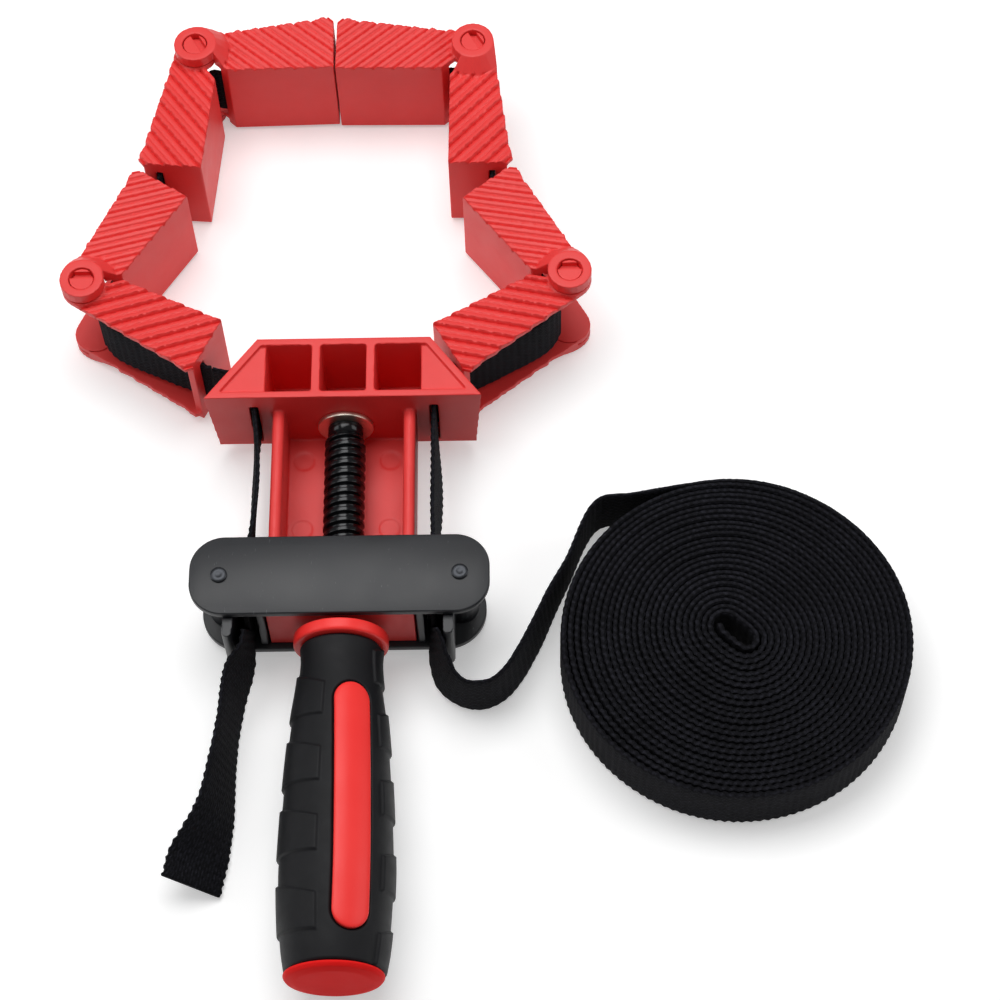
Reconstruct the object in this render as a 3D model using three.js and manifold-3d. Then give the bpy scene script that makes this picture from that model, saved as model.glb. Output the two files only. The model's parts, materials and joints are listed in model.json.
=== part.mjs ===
// Ratchet band clamp: four hinged corner jaws on a webbing loop, a head with a guide channel,
// and a screw handle that drives a yoke along the channel to pull the loop tight.
// Millimetres, +Z up, the screw axis along Y with the loop towards +Y, the table at Z = 0.

import * as THREE from 'three';
import { mergeVertices } from 'three/addons/utils/BufferGeometryUtils.js';
import Module from 'manifold-3d';

const wasm = await Module();
wasm.setup();

// Clearances and working allowances
const gap = 0.3;            // between pieces that touch or slide
const seat = 0.15;          // between flat faces that bear on each other
const overrun = 1.0;        // how far a cutting tool passes the face it cuts
const roundSteps = 20;      // sides of a full circle
const smallSteps = 16;      // sides of a small or hidden circle
const gripSteps = 32;       // sides of the grip

// Webbing
const band = {
  width: 25,
  thickness: 1.9,
  step: 6,                  // length of one straight step along a curve
  foldGap: 0.55,            // end of a stretch to the fold line where two stretches meet
};
band.half = band.thickness / 2;

// Jaw arms. Local frame: pin at the origin, +x towards the tip, +y towards the inside of the loop.
const arm = {
  length: 54.6,             // pin axis to tip face
  innerFace: 9.1,           // pin axis to the clamping face
  outerCorner: 16.0,        // pin axis to the outer corner at the tip
  mitreStart: 12.3,         // where the clamping face begins
  mitreFoot: 6.7,           // where the mitre cut ends near the pin
  mitreFootInner: 4.2,
  plate: 3,
  bandBelow: 2.4,           // room under the webbing, between the plates
  bandAbove: 3.6,
  wall: 3,
  earRadius: 8.3,
  earPlate: 3.2,
  topEarPlate: 5.0,         // the raised ears are thicker than the lowered ones
  skirt: 2.3,               // the clamping and tip walls reach this far below the lower plate
  rampRun: 6.0,             // slope from an ear down to its own plate
  rampSink: 1.3,            // how far the slope reaches into the plate
  tipRound: 2.2,
  slotOffset: 8,            // webbing line at the tip, outwards from the pin axis line
  pinOffset: 4.9,           // webbing line beside the pin, inwards from the pin axis line
  webStart: 9.4,            // where the straight webbing in an arm begins
  webNear: 6.2,             // nearest the webbing comes to the pin, along and across
  webNearInner: 4.2,
  ribPitch: 5.3,
  ribDepth: 1.0,
  ribAngle: 42 * Math.PI / 180,
  edgeWave: 0.5,
  edgeShare: 0.8,           // where a scallop of the outer edge is deepest
};
// The lowered ears lie on the table, and the plates take the webbing between them
arm.bottom = arm.earPlate + gap;
band.bottom = arm.bottom + arm.plate + arm.bandBelow;
band.top = band.bottom + band.width;
arm.top = band.top + arm.bandAbove + arm.plate;
arm.slotLow = band.bottom - gap;
arm.slotHigh = band.top + gap;
arm.slotHalf = band.half + gap;

// Stub pin at the top and the bottom of a jaw, pressed into the inner ear
const pin = {
  shaft: 3.2,
  head: 4.6,
  ledge: 0.8,               // what the outer ear leaves under the pin's head
  sunk: 0.7,                // the head's face below the outer ear's
  blind: 2.2,               // depth of the hole in the inner ear
  slotNear: 0.5,            // driver slot, beside the middle of the head
  slotFar: 3.3,
  slotShare: 0.72,          // share of the head's thickness
};
const earHeight = (out) => (out > 0 ? arm.topEarPlate : arm.earPlate);

// Places of the jaws. The fold at the head lies foldOut from its slanted side, at a share of that
// side's length from the back, and the leans are from the X axis, in degrees.
const loop = {
  flexHalfGap: 3.1,         // tip face to the fold of the webbing between two jaws
  topShift: -6.3,           // where the two upper jaws meet, sideways from the screw axis
  topHalfGap: 0.45,
};
const leftLoop = {
  foldShare: 0.519, foldOut: 9.6, headReach: 4.0, leanOne: 25.9, leanTwo: 123.2, leanFour: 178.9,
};
const rightLoop = {
  foldShare: 0.372, foldOut: 1.6, headReach: 0.9, leanOne: 29.8, leanTwo: 127.8, leanFour: 179.1,
};

// Screw spindle
const screw = {
  axisZ: 20.5,
  major: 7.7,
  depth: 1.5,
  lead: 4,
  threadStart: 60.5,
  tipRadius: 5.2,
  shoulder: 6.6,
  steps: 12,
  rowsPerLead: 3,
  flankShare: 0.8,          // how far up a flank is cut before the flat crest
};

// Head and guide channel, one moulding
const head = {
  front: 66.7,
  back: 92.1,
  halfFront: 51.5,
  halfBack: 32.4,
  draft: 2.6,
  bandBelow: 2.5,
  bandAbove: 7.5,
  wall: 2.8,
  floor: 2.6,
  cellHalf: 28.9,
  cellCount: 3,
  rib: 3.2,
  shallow: 1.5,
  cover: 2.2,
  passageFloor: 1.2,
  bandX: 33.5,
  sideSlotShare: 0.404,
  sideSlotHalf: 4.6,
};
head.bottom = band.bottom - head.bandBelow;
head.top = band.top + head.bandAbove;
const channel = {
  halfWidth: 26.6,
  wall: 4.4,
  lift: 1.2,                // its floor above the head's
  floor: 2.2,
  height: 24.8,
  end: -17.3,
  endWall: 3.5,
  markRadius: 4.1,
  markDepth: 0.4,
  markX: 16.3,
  markFar: 57.0,
  markNear: 28.0,
};
channel.bottom = head.bottom + channel.lift;
channel.top = channel.bottom + channel.height;

const washer = { radius: screw.axisZ - channel.bottom - channel.floor - gap, thickness: 1.8 };
const clip = { radius: 8.4, thickness: 1.4, groove: 0.9 };

// Yoke
const yoke = {
  centre: -4.2,
  depth: 30.8,
  halfLength: 53.9,
  corner: 12.5,
  lowerHalfLength: 52.2,    // the lower plate has full round ends
  plate: 3,
  bandBelow: 1.6,
  bandAbove: 0.4,
  rivetX: 43.2,
  jambWall: 3,
  jambInset: 1.6,
  bridge: 1.6,
};
yoke.innerLow = band.bottom - yoke.bandBelow;
yoke.innerHigh = band.top + yoke.bandAbove;
yoke.bottom = yoke.innerLow - yoke.plate;
yoke.top = yoke.innerHigh + yoke.plate;
const rivet = { radius: 2.1, head: 3.0, headHeight: 0.8 };
const nut = { halfWidth: 12, halfHeight: 9.8, length: 15, wall: 2.6, boreGap: 0.3 };
const cam = { hub: 6.2, lobeAngle: 44, lever: 3.8, leverLength: 22.5, teeth: 6, toothDepth: 0.5 };
const camRest = { left: -3, right: 0 };

// Handle
const handle = {
  collarStart: -21.4,
  collarRadius: 17.2,
  collarLength: 5.0,
  collarRound: 1.6,
  socketDepth: 38,
  coreRadius: 10.5,
  gripEnd: -147.7,
  capEnd: -151.0,
  capRadius: 17.4,
  capDome: 1.2,
  capShoulderShare: 0.9,
  inlayStart: -45.6,
  inlayEnd: -137.0,
  inlayHalfWidth: 6.9,
  inlayDepth: 2.6,
  inlayTurn: 20.4 * Math.PI / 180,    // the inlay faces this far right of straight up
};
// Grip outline: share of the grip's length from the collar, and share of its largest radius,
// which is the height of the axis, so that the handle lies on the table
const gripShares = [
  [0.00, 0.75], [0.05, 0.73], [0.12, 0.76], [0.24, 0.85], [0.42, 0.935],
  [0.62, 0.99], [0.72, 1.00], [0.86, 0.965], [0.94, 0.92], [1.00, 0.86],
];

// Free webbing: coil, feed from the yoke to the coil, and the short tail
const coil = {
  x: 141.7,
  y: -23.4,
  outer: 62.0,
  turns: 24,
  pitch: 2.35,
  stepsPerTurn: 18,
  leaveAngle: 100,
  straight: 25,
};

// Colours
const red = new THREE.MeshStandardMaterial({ color: 0xe8433f, roughness: 0.42, metalness: 0 });
const redPin = new THREE.MeshStandardMaterial({ color: 0xe04440, roughness: 0.45, metalness: 0 });
const black = new THREE.MeshStandardMaterial({ color: 0x1b1c1f, roughness: 0.65, metalness: 0 });
const thread = new THREE.MeshStandardMaterial({ color: 0x16171a, roughness: 0.3, metalness: 0.6 });
const darkSteel = new THREE.MeshStandardMaterial({ color: 0x393c42, roughness: 0.4, metalness: 0.5 });
const steel = new THREE.MeshStandardMaterial({ color: 0xc9c6bf, roughness: 0.3, metalness: 1 });
const webbing = new THREE.MeshStandardMaterial({ color: 0x161618, roughness: 0.95, metalness: 0 });

// Solid helpers
function solid(geometry) {
  const bare = geometry.clone();
  for (const name of Object.keys(bare.attributes)) {
    if (name !== 'position') bare.deleteAttribute(name);
  }
  const merged = mergeVertices(bare, 1e-5);
  const body = new wasm.Mesh({
    numProp: 3,
    vertProperties: new Float32Array(merged.attributes.position.array),
    triVerts: new Uint32Array(merged.index.array),
  });
  return new wasm.Manifold(body);
}

function geometryOf(body) {
  const mesh = body.getMesh();
  const geometry = new THREE.BufferGeometry();
  geometry.setAttribute('position', new THREE.BufferAttribute(new Float32Array(mesh.vertProperties), 3));
  geometry.setIndex(new THREE.BufferAttribute(new Uint32Array(mesh.triVerts), 1));
  geometry.computeVertexNormals();
  return geometry;
}

function union(first, ...rest) {
  return rest.reduce((sum, next) => sum.add(next), first);
}

function without(first, ...rest) {
  return rest.reduce((left, next) => left.subtract(next), first);
}

function prism(points, low, high) {
  const shape = points instanceof THREE.Shape ? points : new THREE.Shape(points);
  const geometry = new THREE.ExtrudeGeometry(shape, {
    depth: high - low, bevelEnabled: false, curveSegments: roundSteps / 4,
  });
  geometry.translate(0, 0, low);
  return solid(geometry);
}

function block(x0, x1, y0, y1, z0, z1) {
  const geometry = new THREE.BoxGeometry(x1 - x0, y1 - y0, z1 - z0);
  geometry.translate((x0 + x1) / 2, (y0 + y1) / 2, (z0 + z1) / 2);
  return solid(geometry);
}

function disc(x, y, radius, low, high, steps = roundSteps) {
  return cone(x, y, radius, radius, low, high, steps);
}

function cone(x, y, lowRadius, highRadius, low, high, steps = roundSteps) {
  const geometry = new THREE.CylinderGeometry(highRadius, lowRadius, high - low, steps);
  geometry.rotateX(Math.PI / 2);
  geometry.translate(x, y, (low + high) / 2);
  return solid(geometry);
}

// A disc or cone about the Z axis, by heights outwards from a plate's face
function onFace(face, out, from, to, radius, farRadius = radius, steps = roundSteps) {
  return out > 0
    ? cone(0, 0, radius, farRadius, face + from, face + to, steps)
    : cone(0, 0, farRadius, radius, face - to, face - from, steps);
}

// A turned piece about the screw axis, from pairs of Y and radius
function turned(profile, steps = roundSteps) {
  const points = profile.map(([y, radius]) => new THREE.Vector2(radius, y));
  const geometry = new THREE.LatheGeometry(points, steps);
  geometry.translate(0, 0, screw.axisZ);
  return geometry;
}

function rod(y0, y1, radius, steps = roundSteps) {
  const geometry = new THREE.CylinderGeometry(radius, radius, y1 - y0, steps);
  geometry.translate(0, (y0 + y1) / 2, screw.axisZ);
  return solid(geometry);
}

// Webbing standing on edge along a path in plan
function ribbonPoints(path, half) {
  const left = [];
  const right = [];
  path.forEach((point, i) => {
    const before = path[Math.max(i - 1, 0)];
    const after = path[Math.min(i + 1, path.length - 1)];
    const along = new THREE.Vector2().subVectors(after, before).normalize();
    const side = new THREE.Vector2(-along.y, along.x);
    left.push(point.clone().addScaledVector(side, half));
    right.push(point.clone().addScaledVector(side, -half));
  });
  return { left, right };
}

function ribbon(path, lows, height) {
  const { left, right } = ribbonPoints(path, band.half);
  const positions = [];
  path.forEach((point, i) => {
    const low = lows[i];
    for (const corner of [left[i], right[i]]) {
      positions.push(corner.x, corner.y, low, corner.x, corner.y, low + height);
    }
  });
  const index = [];
  const quad = (a, b, c, d) => index.push(a, b, c, a, c, d);
  const ring = (i) => [4 * i, 4 * i + 1, 4 * i + 3, 4 * i + 2];
  for (let i = 0; i + 1 < path.length; i += 1) {
    const [a, b, c, d] = ring(i);
    const [e, f, g, h] = ring(i + 1);
    quad(a, b, f, e);
    quad(b, c, g, f);
    quad(c, d, h, g);
    quad(d, a, e, h);
  }
  const [a, b, c, d] = ring(0);
  quad(d, c, b, a);
  const [e, f, g, h] = ring(path.length - 1);
  quad(e, f, g, h);
  const geometry = new THREE.BufferGeometry();
  geometry.setAttribute('position', new THREE.BufferAttribute(new Float32Array(positions), 3));
  geometry.setIndex(index);
  return geometry;
}

function smoothPath(points) {
  const places = points.map(([x, y, z]) => new THREE.Vector3(x, y, z));
  const curve = new THREE.CatmullRomCurve3(places, false, 'centripetal');
  const count = Math.max(2, Math.round(curve.getLength() / band.step));
  return curve.getSpacedPoints(count);
}

function bandAlong(points, bottom = band.bottom) {
  const path = smoothPath(points.map(([x, y, z]) => [x, y, z ?? bottom]));
  return ribbon(path.map((p) => new THREE.Vector2(p.x, p.y)), path.map((p) => p.z), band.width);
}

// The slanted side of the head, from the back corner, with its direction and its way out
const slant = {
  along: new THREE.Vector2(head.halfFront - head.halfBack, head.front - head.back),
};
slant.tangent = slant.along.clone().normalize();
slant.normal = new THREE.Vector2(-slant.tangent.y, slant.tangent.x);
slant.slope = -slant.along.x / slant.along.y;
function onSlant(share, out) {
  return new THREE.Vector2(head.halfBack, head.back)
    .addScaledVector(slant.along, share)
    .addScaledVector(slant.normal, out);
}

// Places of the arms on one side, worked out along the webbing from the head
function placeSide(side, sign) {
  const radians = (degrees) => degrees * Math.PI / 180;
  const [lean1, lean2, lean4] = [side.leanOne, side.leanTwo, side.leanFour].map(radians);
  const along = (angle) => new THREE.Vector2(Math.cos(angle), Math.sin(angle));
  const inward = (angle) => new THREE.Vector2(-Math.sin(angle), Math.cos(angle));
  const offset = -arm.slotOffset;
  const headFold = onSlant(side.foldShare, side.foldOut);
  const pinA = headFold.clone()
    .addScaledVector(along(lean1), arm.length + side.headReach)
    .addScaledVector(inward(lean1), -offset);
  const reach = arm.length + loop.flexHalfGap;
  const midFold = pinA.clone()
    .addScaledVector(along(lean2), reach)
    .addScaledVector(inward(lean2), offset);
  // The third arm's lean closes the loop at the top
  const tipX = sign * loop.topShift + loop.topHalfGap;
  const run = tipX - midFold.x - arm.length * Math.cos(lean4);
  const across = -offset;
  const lean3 = Math.acos(run / Math.hypot(reach, across)) - Math.atan2(across, reach);
  const pinB = midFold.clone()
    .addScaledVector(along(lean3), reach)
    .addScaledVector(inward(lean3), -offset);
  const flip = (point) => new THREE.Vector2(sign * point.x, point.y);
  const world = (angle) => (sign > 0 ? angle : Math.PI - angle);
  return {
    sign,
    folds: [flip(headFold), flip(midFold)],
    pins: [flip(pinA), flip(pinB)],
    // Angle of each arm from its pin to its tip
    angles: [world(lean1) + Math.PI, world(lean2), world(lean3) + Math.PI, world(lean4)],
  };
}

const places = { left: placeSide(leftLoop, -1), right: placeSide(rightLoop, 1) };
const headReaches = { left: leftLoop.headReach, right: rightLoop.headReach };

// Outline of an arm's plate, with the outer edge running off the ear as a tangent
function plateOutline(inward) {
  const at = (x, y) => new THREE.Vector2(x, y * inward);
  const reach = Math.hypot(arm.length, arm.outerCorner);
  const taper = Math.atan2(arm.outerCorner, arm.length) - Math.asin(arm.earRadius / reach);
  const startX = -arm.earRadius * Math.sin(taper);
  const startY = -arm.earRadius * Math.cos(taper);
  const outer = [];
  const period = arm.ribPitch / Math.sin(arm.ribAngle);
  const edge = new THREE.Vector2(arm.length - arm.tipRound - startX, -arm.outerCorner - startY);
  const count = Math.floor((arm.length - arm.earRadius - arm.tipRound) / period);
  for (let i = 0; i <= count; i += 1) {
    const crestX = arm.earRadius + i * period;
    const crestY = startY + (crestX - startX) * edge.y / (arm.length - startX);
    outer.push(at(crestX, crestY));
    const footX = crestX + period * arm.edgeShare;
    if (footX < arm.length - arm.tipRound) {
      const footY = startY + (footX - startX) * edge.y / (arm.length - startX);
      outer.push(at(footX, footY + arm.edgeWave));
    }
  }
  return [
    at(0, 0), at(startX, startY), ...outer,
    at(arm.length - arm.tipRound, -arm.outerCorner), at(arm.length, -arm.outerCorner + arm.tipRound),
    at(arm.length, arm.innerFace), at(arm.mitreStart, arm.innerFace),
    at(arm.mitreFoot, arm.mitreFootInner),
  ];
}

// Saw-tooth tool that leaves the slanted ribs on a plate's outer face
function ribComb(inward, face, direction) {
  const span = arm.length + arm.outerCorner;
  const count = Math.ceil(2 * span / arm.ribPitch);
  const points = [];
  for (let i = 0; i < count; i += 1) {
    const s = -span + i * arm.ribPitch;
    points.push(new THREE.Vector2(s, -arm.ribDepth), new THREE.Vector2(s + arm.ribPitch, 0));
  }
  points.push(new THREE.Vector2(-span + count * arm.ribPitch, overrun), new THREE.Vector2(-span, overrun));
  const shape = new THREE.Shape(points);
  const geometry = new THREE.ExtrudeGeometry(shape, { depth: 2 * span, bevelEnabled: false });
  geometry.translate(0, 0, -span);
  geometry.rotateX(Math.PI / 2);
  if (direction < 0) geometry.rotateY(Math.PI);
  geometry.rotateZ(inward * (arm.ribAngle - Math.PI / 2));
  geometry.translate(0, 0, face);
  return solid(geometry);
}

// Holes for a stub pin in the outer ear, raised from the plate's face, or in the inner one
function pinHole(face, out, raised) {
  if (!raised) return onFace(face, out, -pin.blind, overrun, pin.shaft + gap);
  return union(
    onFace(face, out, gap - overrun, gap + pin.ledge + seat, pin.shaft + gap),
    onFace(face, out, gap + pin.ledge, gap + earHeight(out) + overrun, pin.head + gap),
  );
}

function armBody(inward, over) {
  const low = arm.bottom;
  const high = arm.top;
  const outline = plateOutline(inward);
  const at = (x, y) => new THREE.Vector2(x, y * inward);
  const yRange = (a, b) => [Math.min(a * inward, b * inward), Math.max(a * inward, b * inward)];
  const wallFoot = arm.mitreStart - arm.wall;
  const [endLow, endHigh] = yRange(-arm.outerCorner + arm.tipRound, arm.innerFace);
  const walls = (from, to) => union(
    prism([
      at(arm.mitreStart, arm.innerFace), at(arm.length, arm.innerFace),
      at(arm.length, arm.innerFace - arm.wall), at(wallFoot, arm.innerFace - arm.wall),
    ], from, to),
    block(arm.length - arm.wall, arm.length, endLow, endHigh, from, to),
  );
  const [slotA, slotB] = yRange(-arm.slotOffset - arm.slotHalf, -arm.slotOffset + arm.slotHalf);
  const slot = block(
    arm.length - arm.wall - overrun, arm.length + overrun, slotA, slotB, arm.slotLow, arm.slotHigh,
  );
  let body = union(
    prism(outline, high - arm.plate, high), prism(outline, low, low + arm.plate), walls(low, high),
  );
  body = without(body, ribComb(inward, high, 1), ribComb(inward, low, -1));
  // The outer ear lies on top of the partner's inner ear on one face and under it on the other
  const [outerFace, out, innerFace] = over ? [high, 1, low] : [low, -1, high];
  const clearOfPartner = onFace(outerFace, out, -arm.plate - overrun, gap, arm.earRadius + gap);
  body = without(body, clearOfPartner);
  const ear = gap + earHeight(out);
  const ramp = onFace(outerFace, out, -arm.rampSink, ear, arm.earRadius + arm.rampRun, arm.earRadius);
  const rampSpan = [outerFace - out * arm.rampSink, outerFace + out * ear];
  const rampRoom = prism(outline, Math.min(...rampSpan), Math.max(...rampSpan));
  const rampRoot = without(ramp.intersect(rampRoom), clearOfPartner);
  const outerEar = onFace(outerFace, out, gap, ear, arm.earRadius);
  const innerEar = onFace(innerFace, -out, -arm.plate, 0, arm.earRadius);
  body = union(body, rampRoot, outerEar, innerEar, walls(low - arm.skirt, low + arm.plate));
  return without(body, slot, pinHole(outerFace, out, true), pinHole(innerFace, -out, false));
}

function pinBody(face, out) {
  const headSeat = gap + pin.ledge + seat;
  const top = gap + earHeight(out) - pin.sunk;
  const reach = pin.head + overrun;
  const slotDepth = pin.slotShare * (top - headSeat);
  const slotSpan = [face + out * (top - slotDepth), face + out * (top + overrun)];
  return without(
    union(
      onFace(face, out, seat - pin.blind, headSeat + seat, pin.shaft, pin.shaft, smallSteps),
      onFace(face, out, headSeat, top, pin.head, pin.head, smallSteps),
    ),
    block(-reach, reach, pin.slotNear, pin.slotFar, Math.min(...slotSpan), Math.max(...slotSpan)),
  );
}

// The webbing inside one arm, from beside the pin to the fold beyond the tip slot. Taut webbing is
// in shares of the way along and across, and slack webbing, which swings round the pin to the open
// side of the arm, in shares of the arm's length and of the slot's offset.
const tautShares = [[0, 0], [0.33, 0.3], [0.67, 0.66], [0.92, 0.97], [1, 1]];
const slackShares = [
  [0.084, -0.35], [0.090, -0.04], [0.114, 0.33], [0.176, 0.68], [0.262, 0.94],
  [0.366, 1.04], [0.55, 1.05], [0.78, 1.04], [0.9, 1],
];

function armBand(inward, slack, reach, corner) {
  const straight = arm.length - arm.wall - band.thickness;
  const across = arm.slotOffset + arm.pinOffset;
  const taut = tautShares.map(([along, out]) => [
    arm.webStart + along * (straight - arm.webStart), inward * (arm.pinOffset - out * across),
  ]);
  const loose = slackShares.map(([along, out]) => [arm.length * along, -inward * arm.slotOffset * out]);
  const end = [arm.length + reach - band.foldGap, -inward * arm.slotOffset];
  return bandAlong(slack ? [...corner.slice(0, 2), ...loose, end] : [...corner, ...taut, end]);
}

// The webbing round the inside of a pin, from the partner arm's stretch: turn is the partner's
// angle, seen from this arm
function cornerPoints(inward, turn) {
  const partner = ([x, y]) => [
    x * Math.cos(turn) + inward * y * Math.sin(turn), x * Math.sin(turn) - inward * y * Math.cos(turn),
  ];
  return [
    partner([arm.webStart - 3 * gap, arm.pinOffset]), partner([arm.webNear, arm.webNearInner]),
    [arm.webNear, inward * arm.webNearInner],
  ];
}

const part = new THREE.Group();

function add(name, geometry, material, parent = part) {
  const mesh = new THREE.Mesh(geometry, material);
  mesh.name = name;
  parent.add(mesh);
  return mesh;
}

// Arms, their pins and the webbing in them
for (const [name, place] of Object.entries(places)) {
  place.angles.forEach((angle, i) => {
    const number = i + 1;
    const at = place.pins[i < 2 ? 0 : 1];
    // Arms 1 and 3 run back towards the webbing fold, so their inside is on the other hand
    const inward = place.sign * (i % 2 === 0 ? -1 : 1);
    // The right upper jaw is put together the other way up
    const over = name === 'right' && i > 1 ? i === 2 : i % 2 === 1;
    const reach = [headReaches[name], loop.flexHalfGap, loop.flexHalfGap, loop.topHalfGap][i];
    const corner = i % 2 === 0 ? cornerPoints(inward, place.angles[i + 1] - angle) : [];
    const seatGroup = new THREE.Group();
    seatGroup.position.set(at.x, at.y, 0);
    seatGroup.rotation.z = angle;
    part.add(seatGroup);
    add(`${name}_arm_${number}`, geometryOf(armBody(inward, over)), red, seatGroup);
    add(`${name}_arm_${number}_band`, armBand(inward, i === 0, reach, corner), webbing, seatGroup);
  });
  place.pins.forEach((at, i) => {
    const joint = i === 0 ? 'lower' : 'upper';
    for (const [level, face, out] of [['top', arm.top, 1], ['base', arm.bottom, -1]]) {
      const pinMesh = add(`${name}_${joint}_${level}_pin`, geometryOf(pinBody(face, out)), redPin);
      pinMesh.position.set(at.x, at.y, 0);
      pinMesh.rotation.z = i === 0 ? 0 : -Math.PI / 3;
    }
  });
}

// Head with the guide channel
function headBody() {
  const top = [
    [-head.halfFront, head.front], [head.halfFront, head.front],
    [head.halfBack, head.back], [-head.halfBack, head.back],
  ];
  const draftShare = 1 - head.draft / head.halfFront;
  const positions = [];
  for (const [share, z] of [[draftShare, head.bottom], [1, head.top]]) {
    for (const [x, y] of top) positions.push(x * share, y, z);
  }
  const faces = [
    [0, 2, 1], [0, 3, 2], [4, 5, 6], [4, 6, 7],
    [0, 1, 5], [0, 5, 4], [1, 2, 6], [1, 6, 5], [2, 3, 7], [2, 7, 6], [3, 0, 4], [3, 4, 7],
  ];
  const shell = new THREE.BufferGeometry();
  shell.setAttribute('position', new THREE.BufferAttribute(new Float32Array(positions), 3));
  shell.setIndex(faces.flat());
  let body = solid(shell);
  const y0 = head.front + head.wall;
  const y1 = head.back - head.wall;
  const cellPitch = (2 * head.cellHalf + head.rib) / head.cellCount;
  for (let i = 0; i < head.cellCount; i += 1) {
    const x0 = -head.cellHalf + i * cellPitch;
    const x1 = x0 + cellPitch - head.rib;
    body = without(body, block(x0, x1, y0, y1, head.bottom + head.floor, head.top + overrun));
  }
  const sideWall = head.wall * Math.hypot(1, slant.slope);
  for (const sign of [-1, 1]) {
    const x = (value) => sign * value;
    const outerAt = (y) => head.halfFront - (y - head.front) * slant.slope - sideWall;
    const apex = (inner) => head.front + (head.halfFront - sideWall - inner) / slant.slope;
    const triangle = (inner, share) => [
      new THREE.Vector2(x(inner), y0), new THREE.Vector2(x(outerAt(y0) * share), y0),
      new THREE.Vector2(x(inner), Math.min(y1, apex(inner))),
    ];
    // A shallow recess that runs into the end cell, and the webbing's passage under its floor
    const recess = triangle(head.cellHalf, 1);
    if (apex(head.cellHalf) > y1) recess.splice(2, 0, new THREE.Vector2(x(outerAt(y1)), y1));
    body = without(body, prism(recess, head.top - head.shallow, head.top + overrun));
    const cover = head.top - head.shallow - head.cover;
    body = without(body, prism(
      triangle(head.cellHalf + head.wall, draftShare), head.bottom + head.passageFloor, cover,
    ));
    body = without(body, block(
      Math.min(x(head.bandX - arm.slotHalf - gap), x(head.bandX + arm.slotHalf + gap)),
      Math.max(x(head.bandX - arm.slotHalf - gap), x(head.bandX + arm.slotHalf + gap)),
      head.front - overrun, y0 + overrun, arm.slotLow, arm.slotHigh,
    ));
  }
  return body;
}

function sideSlotCut(sign) {
  const half = head.sideSlotHalf;
  const depth = head.wall + head.draft + overrun;
  const corner = (along, out) => {
    const point = onSlant(head.sideSlotShare, out).addScaledVector(slant.tangent, along);
    return new THREE.Vector2(sign * point.x, point.y);
  };
  return prism([
    corner(-half, overrun), corner(half, overrun), corner(half, -depth), corner(-half, -depth),
  ], arm.slotLow, arm.slotHigh);
}

function channelBody() {
  const inner = channel.halfWidth - channel.wall;
  const y0 = channel.end;
  const y1 = head.front + head.wall / 2;
  const roundTop = channel.wall / 2;
  const wallShape = (x) => {
    const shape = new THREE.Shape();
    shape.moveTo(x, channel.bottom);
    shape.lineTo(x + channel.wall, channel.bottom);
    shape.lineTo(x + channel.wall, channel.top - roundTop);
    shape.absarc(x + roundTop, channel.top - roundTop, roundTop, 0, Math.PI, false);
    shape.lineTo(x, channel.bottom);
    return shape;
  };
  const walls = [-channel.halfWidth, inner].map((x) => {
    const geometry = new THREE.ExtrudeGeometry(wallShape(x), {
      depth: y1 - y0, bevelEnabled: false, curveSegments: 6,
    });
    geometry.rotateX(Math.PI / 2);
    geometry.translate(0, y1, 0);
    return solid(geometry);
  });
  const floorTop = channel.bottom + channel.floor;
  const half = channel.halfWidth;
  const floor = block(-half, half, y0, y1, channel.bottom, floorTop);
  const end = block(-half, half, y0, y0 + channel.endWall, channel.bottom, channel.top - roundTop);
  let body = union(floor, ...walls, end);
  for (const x of [-channel.markX, channel.markX]) {
    for (const y of [channel.markFar, channel.markNear]) {
      body = without(body, disc(
        x, y, channel.markRadius, floorTop - channel.markDepth, floorTop + overrun, smallSteps,
      ));
    }
  }
  return body;
}

const shaftHole = rod(channel.end - overrun, channel.end + channel.endWall + overrun, screw.major + 2 * gap);
const tipHole = rod(head.front - overrun, head.front + head.wall + overrun, screw.tipRadius + gap);
const headMoulding = without(
  union(headBody(), channelBody()), shaftHole, tipHole, sideSlotCut(-1), sideSlotCut(1),
);
add('head_frame', geometryOf(headMoulding), red);

// Washer and retaining clip either side of the head's front wall
const washerFar = head.front - seat;
const washerNear = washerFar - washer.thickness;
add('washer', geometryOf(without(
  rod(washerNear, washerFar, washer.radius, gripSteps),
  rod(washerNear - overrun, washerFar + overrun, screw.tipRadius + gap),
)), steel);

const clipNear = head.front + head.wall + seat;
const clipFar = clipNear + clip.thickness;
const clipOpening = (clip.radius - clip.groove) / 2;
const clipInner = screw.tipRadius - clip.groove;
const clipTop = screw.axisZ + clip.radius + overrun;
add('retaining_clip', geometryOf(without(
  rod(clipNear, clipFar, clip.radius), rod(clipNear - overrun, clipFar + overrun, clipInner + seat),
  block(-clipOpening, clipOpening, clipNear - overrun, clipFar + overrun, screw.axisZ, clipTop),
)), steel);

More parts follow.
